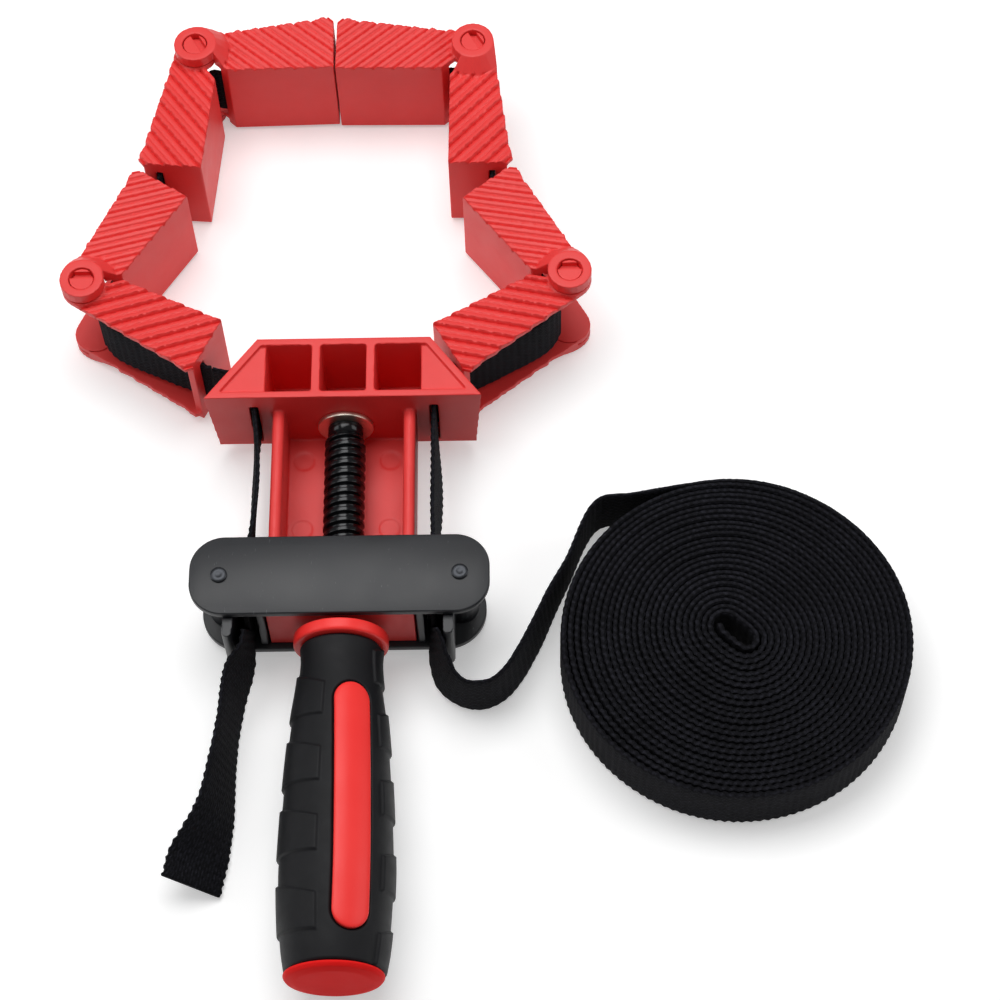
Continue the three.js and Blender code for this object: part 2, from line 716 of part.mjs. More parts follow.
// Spindle: shank in the handle, helical thread, shoulder, grooved tip
function spindleBody() {
  const shankStart = handle.collarStart - handle.socketDepth;
  const threadEnd = channel.end + channel.endWall + gap;
  const shoulderEnd = washerNear - seat;
  const tipEnd = clipFar + clip.thickness;
  const root = screw.major - screw.depth;
  const rows = [];
  const ringAt = (y, radiusAt) => rows.push({ y, radiusAt });
  const even = (radius) => () => radius;
  ringAt(shankStart, even(root));
  ringAt(threadEnd - gap, even(root));
  const count = Math.round((screw.threadStart - threadEnd) / screw.lead * screw.rowsPerLead);
  for (let i = 0; i <= count; i += 1) {
    const share = i / count;
    const y = threadEnd + share * (screw.threadStart - threadEnd);
    const fade = Math.min(1, share * count / screw.rowsPerLead, (1 - share) * count / screw.rowsPerLead);
    ringAt(y, (turn) => {
      const phase = y / screw.lead + turn;
      const crest = (1 + Math.cos(2 * Math.PI * phase)) / 2;
      return root + screw.depth * fade * Math.min(1, crest / screw.flankShare);
    });
  }
  ringAt(screw.threadStart + gap, even(screw.shoulder));
  ringAt(shoulderEnd, even(screw.shoulder));
  const steps = [
    [shoulderEnd, screw.tipRadius], [clipNear - seat, screw.tipRadius], [clipNear - seat, clipInner],
    [clipFar + seat, clipInner], [clipFar + seat, screw.tipRadius], [tipEnd, screw.tipRadius],
  ];
  for (const [y, radius] of steps) ringAt(y, even(radius));
  const positions = [];
  rows.forEach(({ y, radiusAt }) => {
    for (let i = 0; i < screw.steps; i += 1) {
      const turn = i / screw.steps;
      const radius = radiusAt(turn);
      const angle = 2 * Math.PI * turn;
      positions.push(radius * Math.cos(angle), y, screw.axisZ + radius * Math.sin(angle));
    }
  });
  const index = [];
  for (let r = 0; r + 1 < rows.length; r += 1) {
    for (let i = 0; i < screw.steps; i += 1) {
      const next = (i + 1) % screw.steps;
      const a = r * screw.steps + i;
      const b = r * screw.steps + next;
      const c = a + screw.steps;
      const d = b + screw.steps;
      index.push(a, c, b, b, c, d);
    }
  }
  const startCentre = positions.length / 3;
  positions.push(0, rows[0].y, screw.axisZ);
  const endCentre = startCentre + 1;
  positions.push(0, rows[rows.length - 1].y, screw.axisZ);
  const last = (rows.length - 1) * screw.steps;
  for (let i = 0; i < screw.steps; i += 1) {
    const next = (i + 1) % screw.steps;
    index.push(startCentre, i, next);
    index.push(endCentre, last + next, last + i);
  }
  const geometry = new THREE.BufferGeometry();
  geometry.setAttribute('position', new THREE.BufferAttribute(new Float32Array(positions), 3));
  geometry.setIndex(index);
  return { geometry, shankStart };
}
const spindle = spindleBody();
add('spindle', spindle.geometry, thread);

// Yoke plates
function yokeOutline(x, r) {
  const y = yoke.depth / 2;
  const shape = new THREE.Shape();
  shape.moveTo(-x + r, yoke.centre - y);
  shape.lineTo(x - r, yoke.centre - y);
  shape.absarc(x - r, yoke.centre - y + r, r, -Math.PI / 2, 0, false);
  shape.lineTo(x, yoke.centre + y - r);
  shape.absarc(x - r, yoke.centre + y - r, r, 0, Math.PI / 2, false);
  shape.lineTo(-x + r, yoke.centre + y);
  shape.absarc(-x + r, yoke.centre + y - r, r, Math.PI / 2, Math.PI, false);
  shape.lineTo(-x, yoke.centre - y + r);
  shape.absarc(-x + r, yoke.centre - y + r, r, Math.PI, 1.5 * Math.PI, false);
  return shape;
}

const rivetHoles = (low, high) => [-yoke.rivetX, yoke.rivetX].map((x) => disc(
  x, yoke.centre, rivet.radius + seat, low, high, smallSteps,
));
add('yoke_top_plate', geometryOf(without(
  prism(yokeOutline(yoke.halfLength, yoke.corner), yoke.innerHigh, yoke.top),
  ...rivetHoles(yoke.innerHigh - overrun, yoke.top + overrun),
)), darkSteel);
add('yoke_bottom_plate', geometryOf(without(
  prism(yokeOutline(yoke.lowerHalfLength, yoke.depth / 2 - gap), yoke.bottom, yoke.innerLow),
  ...rivetHoles(yoke.bottom - overrun, yoke.innerLow + overrun),
)), darkSteel);

// Nut carrier: two jambs beside the channel, a bridge over it and a housing inside it
const jambInner = channel.halfWidth + 2 * gap;
const jambOuter = jambInner + yoke.jambWall;
const carrier = {
  near: yoke.centre - yoke.depth / 2 + yoke.jambInset,
  far: yoke.centre + yoke.depth / 2 - yoke.jambInset,
  low: yoke.innerLow + seat,
  high: yoke.innerHigh - seat,
};
const housing = {
  near: channel.end + channel.endWall + 2 * gap,
  halfWidth: nut.halfWidth + nut.wall,
  low: channel.bottom + channel.floor + 2 * gap,
};
housing.far = housing.near + nut.length + 2 * nut.wall;
const carrierBody = without(
  union(
    block(-jambOuter, -jambInner, carrier.near, carrier.far, carrier.low, carrier.high),
    block(jambInner, jambOuter, carrier.near, carrier.far, carrier.low, carrier.high),
    block(-jambOuter, jambOuter, carrier.near, carrier.far, carrier.high - yoke.bridge + seat, carrier.high),
    block(-housing.halfWidth, housing.halfWidth, housing.near, housing.far, housing.low, carrier.high),
  ),
  block(
    -nut.halfWidth - seat, nut.halfWidth + seat,
    housing.near + nut.wall - seat, housing.far - nut.wall + seat,
    housing.low - overrun, screw.axisZ + nut.halfHeight + seat,
  ),
  rod(housing.near - overrun, housing.far + overrun, screw.major + 2 * gap),
);
add('nut_carrier', geometryOf(carrierBody), darkSteel);
add('nut', geometryOf(without(
  block(
    -nut.halfWidth, nut.halfWidth, housing.near + nut.wall, housing.far - nut.wall,
    housing.low, screw.axisZ + nut.halfHeight,
  ),
  rod(housing.near, housing.far, screw.major + nut.boreGap),
)), steel);

// Rivets with a low head above and below
for (const [name, sign] of [['left', -1], ['right', 1]]) {
  const x = sign * yoke.rivetX;
  add(`${name}_rivet`, geometryOf(union(
    disc(x, yoke.centre, rivet.radius, yoke.bottom - 2 * seat, yoke.top + 2 * seat, smallSteps),
    disc(x, yoke.centre, rivet.head, yoke.top + seat, yoke.top + seat + rivet.headHeight, smallSteps),
    disc(x, yoke.centre, rivet.head, yoke.bottom - seat - rivet.headHeight, yoke.bottom - seat, smallSteps),
  )), darkSteel);
}

// Webbing cams: hub on the rivet, toothed lobe towards the webbing, lever towards the handle
const bandFace = head.bandX + band.half + gap;
function camBody(sign) {
  const low = yoke.innerLow + gap;
  const high = yoke.innerHigh - gap;
  const hub = disc(0, 0, cam.hub, low, high);
  const reach = yoke.rivetX - bandFace;
  const half = cam.lobeAngle * Math.PI / 360;
  const points = [new THREE.Vector2(0, 0)];
  const count = cam.teeth * 2;
  for (let i = 0; i <= count; i += 1) {
    const angle = Math.PI - half + 2 * half * i / count;
    const radius = reach - (i % 2 === 0 ? 0 : cam.toothDepth);
    points.push(new THREE.Vector2(-sign * -radius * Math.cos(angle), radius * Math.sin(angle)));
  }
  const lobe = prism(points, low, high);
  // The lever runs off the hub's inner side and has a round end
  const leverX = -sign * (cam.hub - cam.lever / 2);
  const leverEnd = -cam.leverLength + cam.lever / 2;
  const lever = union(
    block(leverX - cam.lever / 2, leverX + cam.lever / 2, leverEnd, 0, low, high),
    disc(leverX, leverEnd, cam.lever / 2, low, high, smallSteps),
  );
  return without(
    union(hub, lobe, lever), disc(0, 0, rivet.radius + gap, low - overrun, high + overrun, smallSteps),
  );
}
for (const [name, sign] of [['left', -1], ['right', 1]]) {
  const mesh = add(`${name}_cam`, geometryOf(camBody(sign)), darkSteel);
  mesh.position.set(sign * yoke.rivetX, yoke.centre, 0);
  mesh.rotation.z = camRest[name] * Math.PI / 180;
}

// Handle: core with the collar, rubber grip with a window, inlay and end cap
const gripStart = handle.collarStart - handle.collarLength;
const gripLength = gripStart - handle.gripEnd;
const capSeatY = handle.gripEnd - seat;
const coreEnd = handle.gripEnd + gap;
add('handle_core', turned([
  [handle.collarStart, screw.major - screw.depth + gap],
  [spindle.shankStart - gap, screw.major - screw.depth + gap],
  [spindle.shankStart - gap, 0],
  [coreEnd, 0],
  [coreEnd, handle.coreRadius],
  [gripStart + seat, handle.coreRadius],
  [gripStart + seat, handle.collarRadius - handle.collarRound],
  [gripStart + seat + handle.collarRound, handle.collarRadius],
  [handle.collarStart - handle.collarRound, handle.collarRadius],
  [handle.collarStart, handle.collarRadius - handle.collarRound],
  [handle.collarStart, screw.major - screw.depth + gap],
]), red);

const stadium = (half, from, to) => {
  const shape = new THREE.Shape();
  shape.moveTo(-half, to + half);
  shape.absarc(0, to + half, half, Math.PI, 2 * Math.PI, false);
  shape.lineTo(half, from - half);
  shape.absarc(0, from - half, half, 0, Math.PI, false);
  shape.lineTo(-half, to + half);
  return shape;
};
const gripOuter = solid(turned([
  [gripStart, 0],
  ...gripShares.map(([along, out]) => [gripStart - along * gripLength, out * screw.axisZ]),
  [handle.gripEnd, 0],
].reverse(), gripSteps));
const gripBore = rod(handle.gripEnd - overrun, gripStart + overrun, handle.coreRadius + seat);
const window = prism(
  stadium(handle.inlayHalfWidth + seat, handle.inlayStart + seat, handle.inlayEnd - seat),
  screw.axisZ + handle.coreRadius - handle.inlayDepth, screw.axisZ + 2 * handle.capRadius,
);
// The grip and its inlay are turned together about the screw axis
const gripTurn = new THREE.Group();
gripTurn.position.z = screw.axisZ;
gripTurn.rotation.y = handle.inlayTurn;
part.add(gripTurn);
const gripMesh = add('handle_grip', geometryOf(without(gripOuter, gripBore, window)), black, gripTurn);
gripMesh.position.z = -screw.axisZ;
const gripFace = solid(turned([
  [gripStart, 0],
  ...gripShares.map(([along, out]) => [gripStart - along * gripLength, out * screw.axisZ - gap]),
  [handle.gripEnd, 0],
].reverse(), gripSteps));
const inlayBar = prism(
  stadium(handle.inlayHalfWidth, handle.inlayStart, handle.inlayEnd),
  screw.axisZ + handle.coreRadius / 2, screw.axisZ + 2 * handle.capRadius,
);
const inlayMesh = add('handle_inlay', geometryOf(without(
  inlayBar.intersect(gripFace), rod(handle.gripEnd - overrun, gripStart + overrun, handle.coreRadius + seat),
)), red, gripTurn);
inlayMesh.position.z = -screw.axisZ;
add('handle_end_cap', turned([
  [handle.capEnd, 0],
  [handle.capEnd + handle.capDome / 3, handle.capRadius * handle.capShoulderShare ** 3],
  [handle.capEnd + handle.capDome, handle.capRadius * handle.capShoulderShare],
  [handle.capEnd + 2 * handle.capDome, handle.capRadius],
  [capSeatY, handle.capRadius],
  [capSeatY, 0],
]), red);

// Webbing in the head, beside the channel and in the yoke
for (const [name, sign] of [['left', -1], ['right', 1]]) {
  const fold = places[name].folds[0];
  const towardsHead = new THREE.Vector2(Math.cos(places[name].angles[0]), Math.sin(places[name].angles[0]));
  const outside = fold.clone().addScaledVector(towardsHead, band.foldGap);
  const inside = onSlant(head.sideSlotShare, -head.wall / 2);
  const headPath = [
    [outside.x, outside.y], [sign * inside.x, inside.y],
    [sign * (head.bandX + band.half), head.front + 3 * head.wall],
    [sign * head.bandX, head.front + 2 * head.wall],
    [sign * head.bandX, head.front],
  ];
  add(`${name}_head_band`, bandAlong(headPath), webbing);
  const x = sign * head.bandX;
  const runMiddle = (head.front + carrier.far) / 2;
  const runPath = [[x, head.front - gap], [x, runMiddle], [x, carrier.far + gap]];
  add(`${name}_run_band`, bandAlong(runPath), webbing);
  add(`${name}_yoke_band`, bandAlong([[x, carrier.far], [x, yoke.centre], [x, carrier.near]]), webbing);
}

// Feed from the right side of the yoke to the coil, lying down from the yoke onto the table
const leave = coil.leaveAngle * Math.PI / 180;
const coilStart = new THREE.Vector2(
  coil.x + coil.outer * Math.cos(leave), coil.y + coil.outer * Math.sin(leave),
);
const coilAway = new THREE.Vector2(-Math.sin(leave), Math.cos(leave));
const feedEnd = coilStart.clone().addScaledVector(coilAway, coil.straight + gap);
const feedNear = feedEnd.clone().addScaledVector(coilAway, coil.straight / 2);
add('feed_band', bandAlong([
  [head.bandX, carrier.near - gap, band.bottom],
  [33.9, -27.5, 7.0],
  [36.6, -35.5, 3.6],
  [42.0, -41.0, 1.2],
  [49.0, -42.2, 0.2],
  [56.2, -38.2, 0],
  [62.0, -28.0, 0],
  [68.0, -14.0, 0],
  [76.5, 2.0, 0],
  [feedNear.x, feedNear.y, 0],
  [feedEnd.x, feedEnd.y, 0],
]), webbing);

// Coil, one unbroken spiral of webbing on edge
function coilPath() {
  const total = coil.turns * coil.stepsPerTurn;
  const path = [];
  for (let i = 0; i <= total; i += 1) {
    const angle = leave - 2 * Math.PI * (total - i) / coil.stepsPerTurn;
    const radius = coil.outer - coil.pitch * (total - i) / coil.stepsPerTurn;
    path.push(new THREE.Vector2(coil.x + radius * Math.cos(angle), coil.y + radius * Math.sin(angle)));
  }
  for (const share of [0.5, 1]) path.push(coilStart.clone().addScaledVector(coilAway, coil.straight * share));
  return path;
}
const coilLine = coilPath();
add('coil_band', ribbon(coilLine, coilLine.map(() => 0), band.width), webbing);

function leastCoilGap() {
  const { left, right } = ribbonPoints(coilLine, band.half);
  let least = Infinity;
  const skip = Math.floor(coil.stepsPerTurn / 2);
  for (let i = 0; i < left.length; i += 1) {
    for (let j = i + skip; j + 1 < right.length; j += 1) {
      const pairs = [
        [left[i], right[j], right[j + 1]], [left[i], left[j], left[j + 1]], [right[i], left[j], left[j + 1]],
      ];
      for (const [p, a, b] of pairs) {
        const edge = b.clone().sub(a);
        const share = Math.min(1, Math.max(0, p.clone().sub(a).dot(edge) / edge.lengthSq()));
        least = Math.min(least, p.distanceTo(a.clone().addScaledVector(edge, share)));
      }
    }
  }
  return least;
}
console.log('least gap between turns of the coil, mm:', leastCoilGap().toFixed(2));

// Tail: on edge at the yoke, turning over to lie flat on the table
function tailGeometry() {
  const stations = [
    [-head.bandX, carrier.near - gap, band.bottom + band.width / 2, 90],
    [-34.6, -25.0, 18.3, 93],
    [-36.8, -31.5, 15.8, 102],
    [-38.7, -39.0, 13.9, 103],
    [-40.5, -53.0, 12.5, 101],
    [-42.1, -69.5, 12.0, 106],
    [-43.8, -84.6, 11.3, 115],
    [-46.6, -94.0, 10.0, 126],
    [-49.8, -102.5, 7.8, 140],
    [-51.5, -111.0, 7.6, 142],
  ];
  const centres = stations.map(([x, y, z]) => new THREE.Vector3(x, y, z));
  const centre = new THREE.CatmullRomCurve3(centres, false, 'centripetal');
  const steps = 2 * (stations.length - 1);
  const positions = [];
  for (let i = 0; i <= steps; i += 1) {
    const share = i / steps;
    const place = centre.getPoint(share);
    const along = centre.getTangent(share);
    const before = Math.min(stations.length - 2, Math.floor(share * (stations.length - 1)));
    const rest = share * (stations.length - 1) - before;
    const twist = (stations[before][3] * (1 - rest) + stations[before + 1][3] * rest) * Math.PI / 180;
    const flat = new THREE.Vector3(-along.y, along.x, 0).normalize();
    const across = flat.clone().multiplyScalar(Math.cos(twist)).add(new THREE.Vector3(0, 0, Math.sin(twist)));
    // The lower edge never goes below the table
    place.z = Math.max(place.z, band.width / 2 * Math.sin(twist) + band.half * Math.abs(Math.cos(twist)));
    const face = new THREE.Vector3().crossVectors(along, across).normalize();
    for (const [a, f] of [[-1, -1], [-1, 1], [1, 1], [1, -1]]) {
      const corner = place.clone()
        .addScaledVector(across, a * band.width / 2)
        .addScaledVector(face, f * band.half);
      positions.push(corner.x, corner.y, corner.z);
    }
  }
  const index = [];
  const quad = (a, b, c, d) => index.push(a, b, c, a, c, d);
  for (let i = 0; i < steps; i += 1) {
    for (let k = 0; k < 4; k += 1) {
      const next = (k + 1) % 4;
      quad(4 * i + next, 4 * i + k, 4 * (i + 1) + k, 4 * (i + 1) + next);
    }
  }
  quad(0, 1, 2, 3);
  quad(4 * steps + 3, 4 * steps + 2, 4 * steps + 1, 4 * steps);
  const geometry = new THREE.BufferGeometry();
  geometry.setAttribute('position', new THREE.BufferAttribute(new Float32Array(positions), 3));
  geometry.setIndex(index);
  return geometry;
}
add('tail_band', tailGeometry(), webbing);

// The origin is under the middle of the clamp, leaving out the free webbing
const freeWebbing = ['feed_band', 'coil_band', 'tail_band'];
const extent = new THREE.Box3();
part.updateMatrixWorld(true);
for (const mesh of part.children.flatMap((child) => (child.isMesh ? [child] : child.children))) {
  if (!freeWebbing.includes(mesh.name)) extent.expandByObject(mesh, true);
}
part.position.set(-(extent.min.x + extent.max.x) / 2, -(extent.min.y + extent.max.y) / 2, -extent.min.z);

// Places that the record of the joints repeats
const shown = (x, y) => `${(x + part.position.x).toFixed(3)}, ${(y + part.position.y).toFixed(3)}`;
for (const [name, place] of Object.entries(places)) {
  ['head fold', 'middle fold'].forEach((what, i) => {
    console.log(`${name} ${what}:`, shown(place.folds[i].x, place.folds[i].y));
  });
  ['lower pin', 'upper pin'].forEach((what, i) => {
    console.log(`${name} ${what}:`, shown(place.pins[i].x, place.pins[i].y));
  });
}
console.log('rivets:', shown(-yoke.rivetX, yoke.centre), 'and', shown(yoke.rivetX, yoke.centre));
console.log('screw axis:', shown(0, 0), screw.axisZ);

export default part;
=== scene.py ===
"""Ratchet band clamp: the finish of every piece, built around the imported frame.

Lengths here are millimetres in the part's own frame, as in its source: the screw axis runs
along Y at x = 0 and the table is z = 0. place() turns them into metres in the frame's axes.
"""

import json
import math

import bmesh
import bpy
import numpy as np
from mathutils import Matrix, Vector


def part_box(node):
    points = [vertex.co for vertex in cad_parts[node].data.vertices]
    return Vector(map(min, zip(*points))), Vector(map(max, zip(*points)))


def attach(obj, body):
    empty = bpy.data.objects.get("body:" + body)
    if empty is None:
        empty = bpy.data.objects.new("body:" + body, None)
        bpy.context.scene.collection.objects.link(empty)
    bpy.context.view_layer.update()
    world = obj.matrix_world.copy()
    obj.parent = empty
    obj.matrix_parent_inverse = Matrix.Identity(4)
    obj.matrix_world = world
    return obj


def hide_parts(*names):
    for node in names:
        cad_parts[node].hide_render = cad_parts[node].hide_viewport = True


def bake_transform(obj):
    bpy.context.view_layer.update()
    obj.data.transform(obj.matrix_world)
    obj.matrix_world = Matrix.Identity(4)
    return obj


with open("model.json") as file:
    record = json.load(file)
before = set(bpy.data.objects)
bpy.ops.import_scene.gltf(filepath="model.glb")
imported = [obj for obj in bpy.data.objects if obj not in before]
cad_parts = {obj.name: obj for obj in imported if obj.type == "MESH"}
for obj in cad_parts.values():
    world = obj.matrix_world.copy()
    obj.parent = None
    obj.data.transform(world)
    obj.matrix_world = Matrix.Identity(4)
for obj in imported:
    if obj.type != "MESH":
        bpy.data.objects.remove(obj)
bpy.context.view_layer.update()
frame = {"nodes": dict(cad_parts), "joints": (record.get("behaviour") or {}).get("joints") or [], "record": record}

MM = 0.001
joints = {joint["name"]: joint for joint in frame["joints"]}
body_of_node = {}
for body, members in frame["record"]["behaviour"]["bodies"].items():
    for member in members:
        body_of_node[member] = body

# Where the part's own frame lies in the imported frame, and the height of the screw axis
screw_at = joints["handle_turn"]["pos_m"]
ROOT = Vector((screw_at[0], screw_at[1], 0.0))
AXIS_Z = screw_at[2] / MM


def own_box(node):
    """Lowest and highest corner of a node in the part's own frame, in millimetres."""
    low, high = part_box(node)
    return (low - ROOT) / MM, (high - ROOT) / MM


def own_joint(name):
    """A joint's place in the part's own frame, in millimetres."""
    return (Vector(joints[name]["pos_m"]) - ROOT) / MM


# Camera, as a studio photograph from above and in front
CAMERA_PLACE = (68.6, -434.34, 898.07)
CAMERA_PITCH = math.radians(61.927)
CAMERA_ROLL = math.radians(-2.034)
CAMERA_YAW = math.radians(-1.344)
CAMERA_FOCAL_SHARE = 2.6899
SENSOR_WIDTH = 36.0


def build_camera():
    """The camera, which looks along forward with its own right and up directions."""
    forward = Vector((
        math.sin(CAMERA_YAW) * math.cos(CAMERA_PITCH),
        math.cos(CAMERA_YAW) * math.cos(CAMERA_PITCH),
        -math.sin(CAMERA_PITCH),
    ))
    level = Vector((math.cos(CAMERA_YAW), -math.sin(CAMERA_YAW), 0.0))
    above = level.cross(forward)
    right = math.cos(CAMERA_ROLL) * level + math.sin(CAMERA_ROLL) * above
    up = -math.sin(CAMERA_ROLL) * level + math.cos(CAMERA_ROLL) * above
    data = bpy.data.cameras.new("camera")
    data.sensor_width = SENSOR_WIDTH
    data.lens = SENSOR_WIDTH * CAMERA_FOCAL_SHARE
    data.clip_end = 20.0
    camera = bpy.data.objects.new("camera", data)
    camera.matrix_world = Matrix((
        (right.x, up.x, -forward.x, CAMERA_PLACE[0] * MM + ROOT.x),
        (right.y, up.y, -forward.y, CAMERA_PLACE[1] * MM + ROOT.y),
        (right.z, up.z, -forward.z, CAMERA_PLACE[2] * MM + ROOT.z),
        (0, 0, 0, 1),
    ))
    bpy.context.scene.collection.objects.link(camera)
    bpy.context.scene.camera = camera


build_camera()


# Meshes
def place(points):
    """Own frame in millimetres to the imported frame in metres."""
    return np.asarray(points, float) * MM + np.array(ROOT)


def new_object(name, data):
    piece = bpy.data.objects.new(name, data)
    bpy.context.scene.collection.objects.link(piece)
    return piece


def mesh_object(name, points, faces, material):
    """A smooth piece from points in the part's own frame."""
    data = bpy.data.meshes.new(name)
    data.from_pydata([tuple(p) for p in place(points)], [], [tuple(f) for f in faces])
    data.validate()
    data.shade_smooth()
    data.materials.append(material)
    return new_object(name, data)


def stand_for(piece, node):
    """Hides the node that the piece replaces, and lets the piece ride on its body."""
    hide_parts(node)
    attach(piece, body_of_node[node])


def ring_faces(rows, columns, joined=False):
    """Quads over rows of closed rings of points, capped at both ends or joined into a loop."""
    faces = []
    for r in range(rows if joined else rows - 1):
        here = r * columns
        there = (r + 1) % rows * columns
        for c in range(columns):
            d = (c + 1) % columns
            faces.append((here + c, here + d, there + d, there + c))
    if not joined:
        faces.append(tuple(range(columns - 1, -1, -1)))
        faces.append(tuple((rows - 1) * columns + c for c in range(columns)))
    return faces


def about_screw(run, radius, angle):
    """A point at a radius and angle about the screw axis, run along Y."""
    return (radius * math.sin(angle), run, AXIS_Z + radius * math.cos(angle))


def about_upright(x, y):
    """The same about an upright axis, run along Z."""
    return lambda run, radius, angle: (x + radius * math.cos(angle), y + radius * math.sin(angle), run)


def turned_object(name, profile, material, spot, steps):
    """A turned piece from pairs of run and radius, of which the first and last have radius 0."""
    points = [spot(*profile[0], 0.0)]
    for run, radius in profile[1:-1]:
        points += [spot(run, radius, 2 * math.pi * i / steps) for i in range(steps)]
    points.append(spot(*profile[-1], 0.0))
    rows = len(profile) - 2
    last = 1 + (rows - 1) * steps
    faces = []
    for i in range(steps):
        j = (i + 1) % steps
        faces.append((0, 1 + j, 1 + i))
        faces.append((len(points) - 1, last + i, last + j))
        for r in range(rows - 1):
            a = 1 + r * steps
            faces.append((a + i, a + j, a + steps + j, a + steps + i))
    return mesh_object(name, points, faces, material)


ROUNDING_SHARE = 0.45       # of the shorter side, the most that a corner's rounding takes
ROUNDING_STEPS = 5
CURVE_STEPS = 60            # between two points of a smooth line, before its steps are made even


def rounded(profile, radius):
    """Rounds the corners of a profile of pairs, each by at most the radius."""
    result = [profile[0]]
    for before, corner, after in zip(profile, profile[1:], profile[2:]):
        b, c, a = (np.array(p, float) for p in (before, corner, after))
        to_b = b - c
        to_a = a - c
        reach = min(radius, np.linalg.norm(to_b) * ROUNDING_SHARE, np.linalg.norm(to_a) * ROUNDING_SHARE)
        start = c + to_b / np.linalg.norm(to_b) * reach
        end = c + to_a / np.linalg.norm(to_a) * reach
        for i in range(ROUNDING_STEPS + 1):
            t = i / ROUNDING_STEPS
            result.append(tuple((1 - t) ** 2 * start + 2 * t * (1 - t) * c + t ** 2 * end))
    result.append(profile[-1])
    return result


def smooth_line(points, step):
    """A Catmull-Rom curve with centripetal spacing through the points, at even steps."""
    p = np.array(points, float)
    p = np.vstack([2 * p[0] - p[1], p, 2 * p[-1] - p[-2]])
    fine = []
    for i in range(1, len(p) - 2):
        knots = [0.0]
        for a, b in zip(p[i - 1:i + 2], p[i:i + 3]):
            knots.append(knots[-1] + max(np.linalg.norm(b[:3] - a[:3]), 1e-6) ** 0.5)
        t0, t1, t2, t3 = knots
        t = np.linspace(t1, t2, CURVE_STEPS, endpoint=i == len(p) - 3)[:, None]
        a1 = (t1 - t) / (t1 - t0) * p[i - 1] + (t - t0) / (t1 - t0) * p[i]
        a2 = (t2 - t) / (t2 - t1) * p[i] + (t - t1) / (t2 - t1) * p[i + 1]
        a3 = (t3 - t) / (t3 - t2) * p[i + 1] + (t - t2) / (t3 - t2) * p[i + 2]
        b1 = (t2 - t) / (t2 - t0) * a1 + (t - t0) / (t2 - t0) * a2
        b2 = (t3 - t) / (t3 - t1) * a2 + (t - t1) / (t3 - t1) * a3
        fine.append((t2 - t) / (t2 - t1) * b1 + (t - t1) / (t2 - t1) * b2)
    return even_steps(np.vstack(fine), step)


def soft_step(value, width):
    """0 below zero, 1 past the width, and smooth between."""
    t = np.clip(value / width, 0, 1)
    return t * t * (3 - 2 * t)


def even_steps(line, step):
    """The same line with a point about every step of its length."""
    run = np.concatenate([[0], np.cumsum(np.linalg.norm(np.diff(line[:, :3], axis=0), axis=1))])
    count = max(2, int(round(run[-1] / step)))
    want = np.linspace(0, run[-1], count + 1)
    return np.stack([np.interp(want, run, line[:, k]) for k in range(line.shape[1])], 1)


# Materials
SOCKETS = {
    "colour": "Base Color", "roughness": "Roughness", "normal": "Normal", "metallic": "Metallic",
    "specular": "Specular IOR Level", "glow": "Emission Strength", "glow_colour": "Emission Color",
    "strength": "Strength", "light": "Color",
}


class Nodes:
    """Short calls for building the node tree of a material or a world."""

    def __init__(self, owner, shader="Principled BSDF"):
        owner.use_nodes = True
        self.owner = owner
        self.tree = owner.node_tree
        self.shader = self.tree.nodes[shader]

    def fill(self, node, inputs):
        """Gives a node its inputs, each a number, a colour or another node's output."""
        for key, value in inputs.items():
            if isinstance(value, bpy.types.NodeSocket):
                self.tree.links.new(value, node.inputs[key])
            else:
                node.inputs[key].default_value = value

    def add(self, kind, inputs=None, **settings):
        node = self.tree.nodes.new("ShaderNode" + kind)
        for key, value in settings.items():
            setattr(node, key, value)
        self.fill(node, inputs or {})
        return node

    def maths(self, operation, *values):
        return self.add("Math", dict(enumerate(values)), operation=operation).outputs[0]

    def noise(self, scale, detail=3.0, roughness=0.55, vector=None):
        return self.add("TexNoise", {
            "Scale": scale, "Detail": detail, "Roughness": roughness,
            "Vector": vector or self.object_place(),
        }).outputs["Fac"]

    def object_place(self):
        if not hasattr(self, "coordinates"):
            self.coordinates = self.add("TexCoord")
        return self.coordinates.outputs["Object"]

    def ramp(self, value, stops):
        node = self.add("ValToRGB", {"Fac": value})
        while len(node.color_ramp.elements) < len(stops):
            node.color_ramp.elements.new(0.5)
        for element, (position, colour) in zip(node.color_ramp.elements, stops):
            element.position = position
            element.color = (*colour, 1.0)
        return node.outputs["Color"]

    def between(self, value, low, high):
        """Maps 0..1 onto low..high."""
        return self.add("MapRange", {"Value": value, "To Min": low, "To Max": high}).outputs[0]

    def bump(self, height, strength, distance, normal=None):
        """A relief of this height in metres, over another relief's normal."""
        inputs = {"Strength": strength, "Distance": distance, "Height": height}
        if normal is not None:
            inputs["Normal"] = normal
        return self.add("Bump", inputs).outputs["Normal"]

    def finish(self, **values):
        """Gives the shader its inputs, and the finished material or world."""
        self.fill(self.shader, {SOCKETS[name]: value for name, value in values.items()})
        return self.owner


def new_material(name):
    return Nodes(bpy.data.materials.new(name))


def linear(red, green, blue):
    """An sRGB colour of 0 to 255 as the linear values that shaders take."""
    values = []
    for channel in (red, green, blue):
        c = channel / 255
        values.append(c / 12.92 if c <= 0.04045 else ((c + 0.055) / 1.055) ** 2.4)
    return tuple(values)


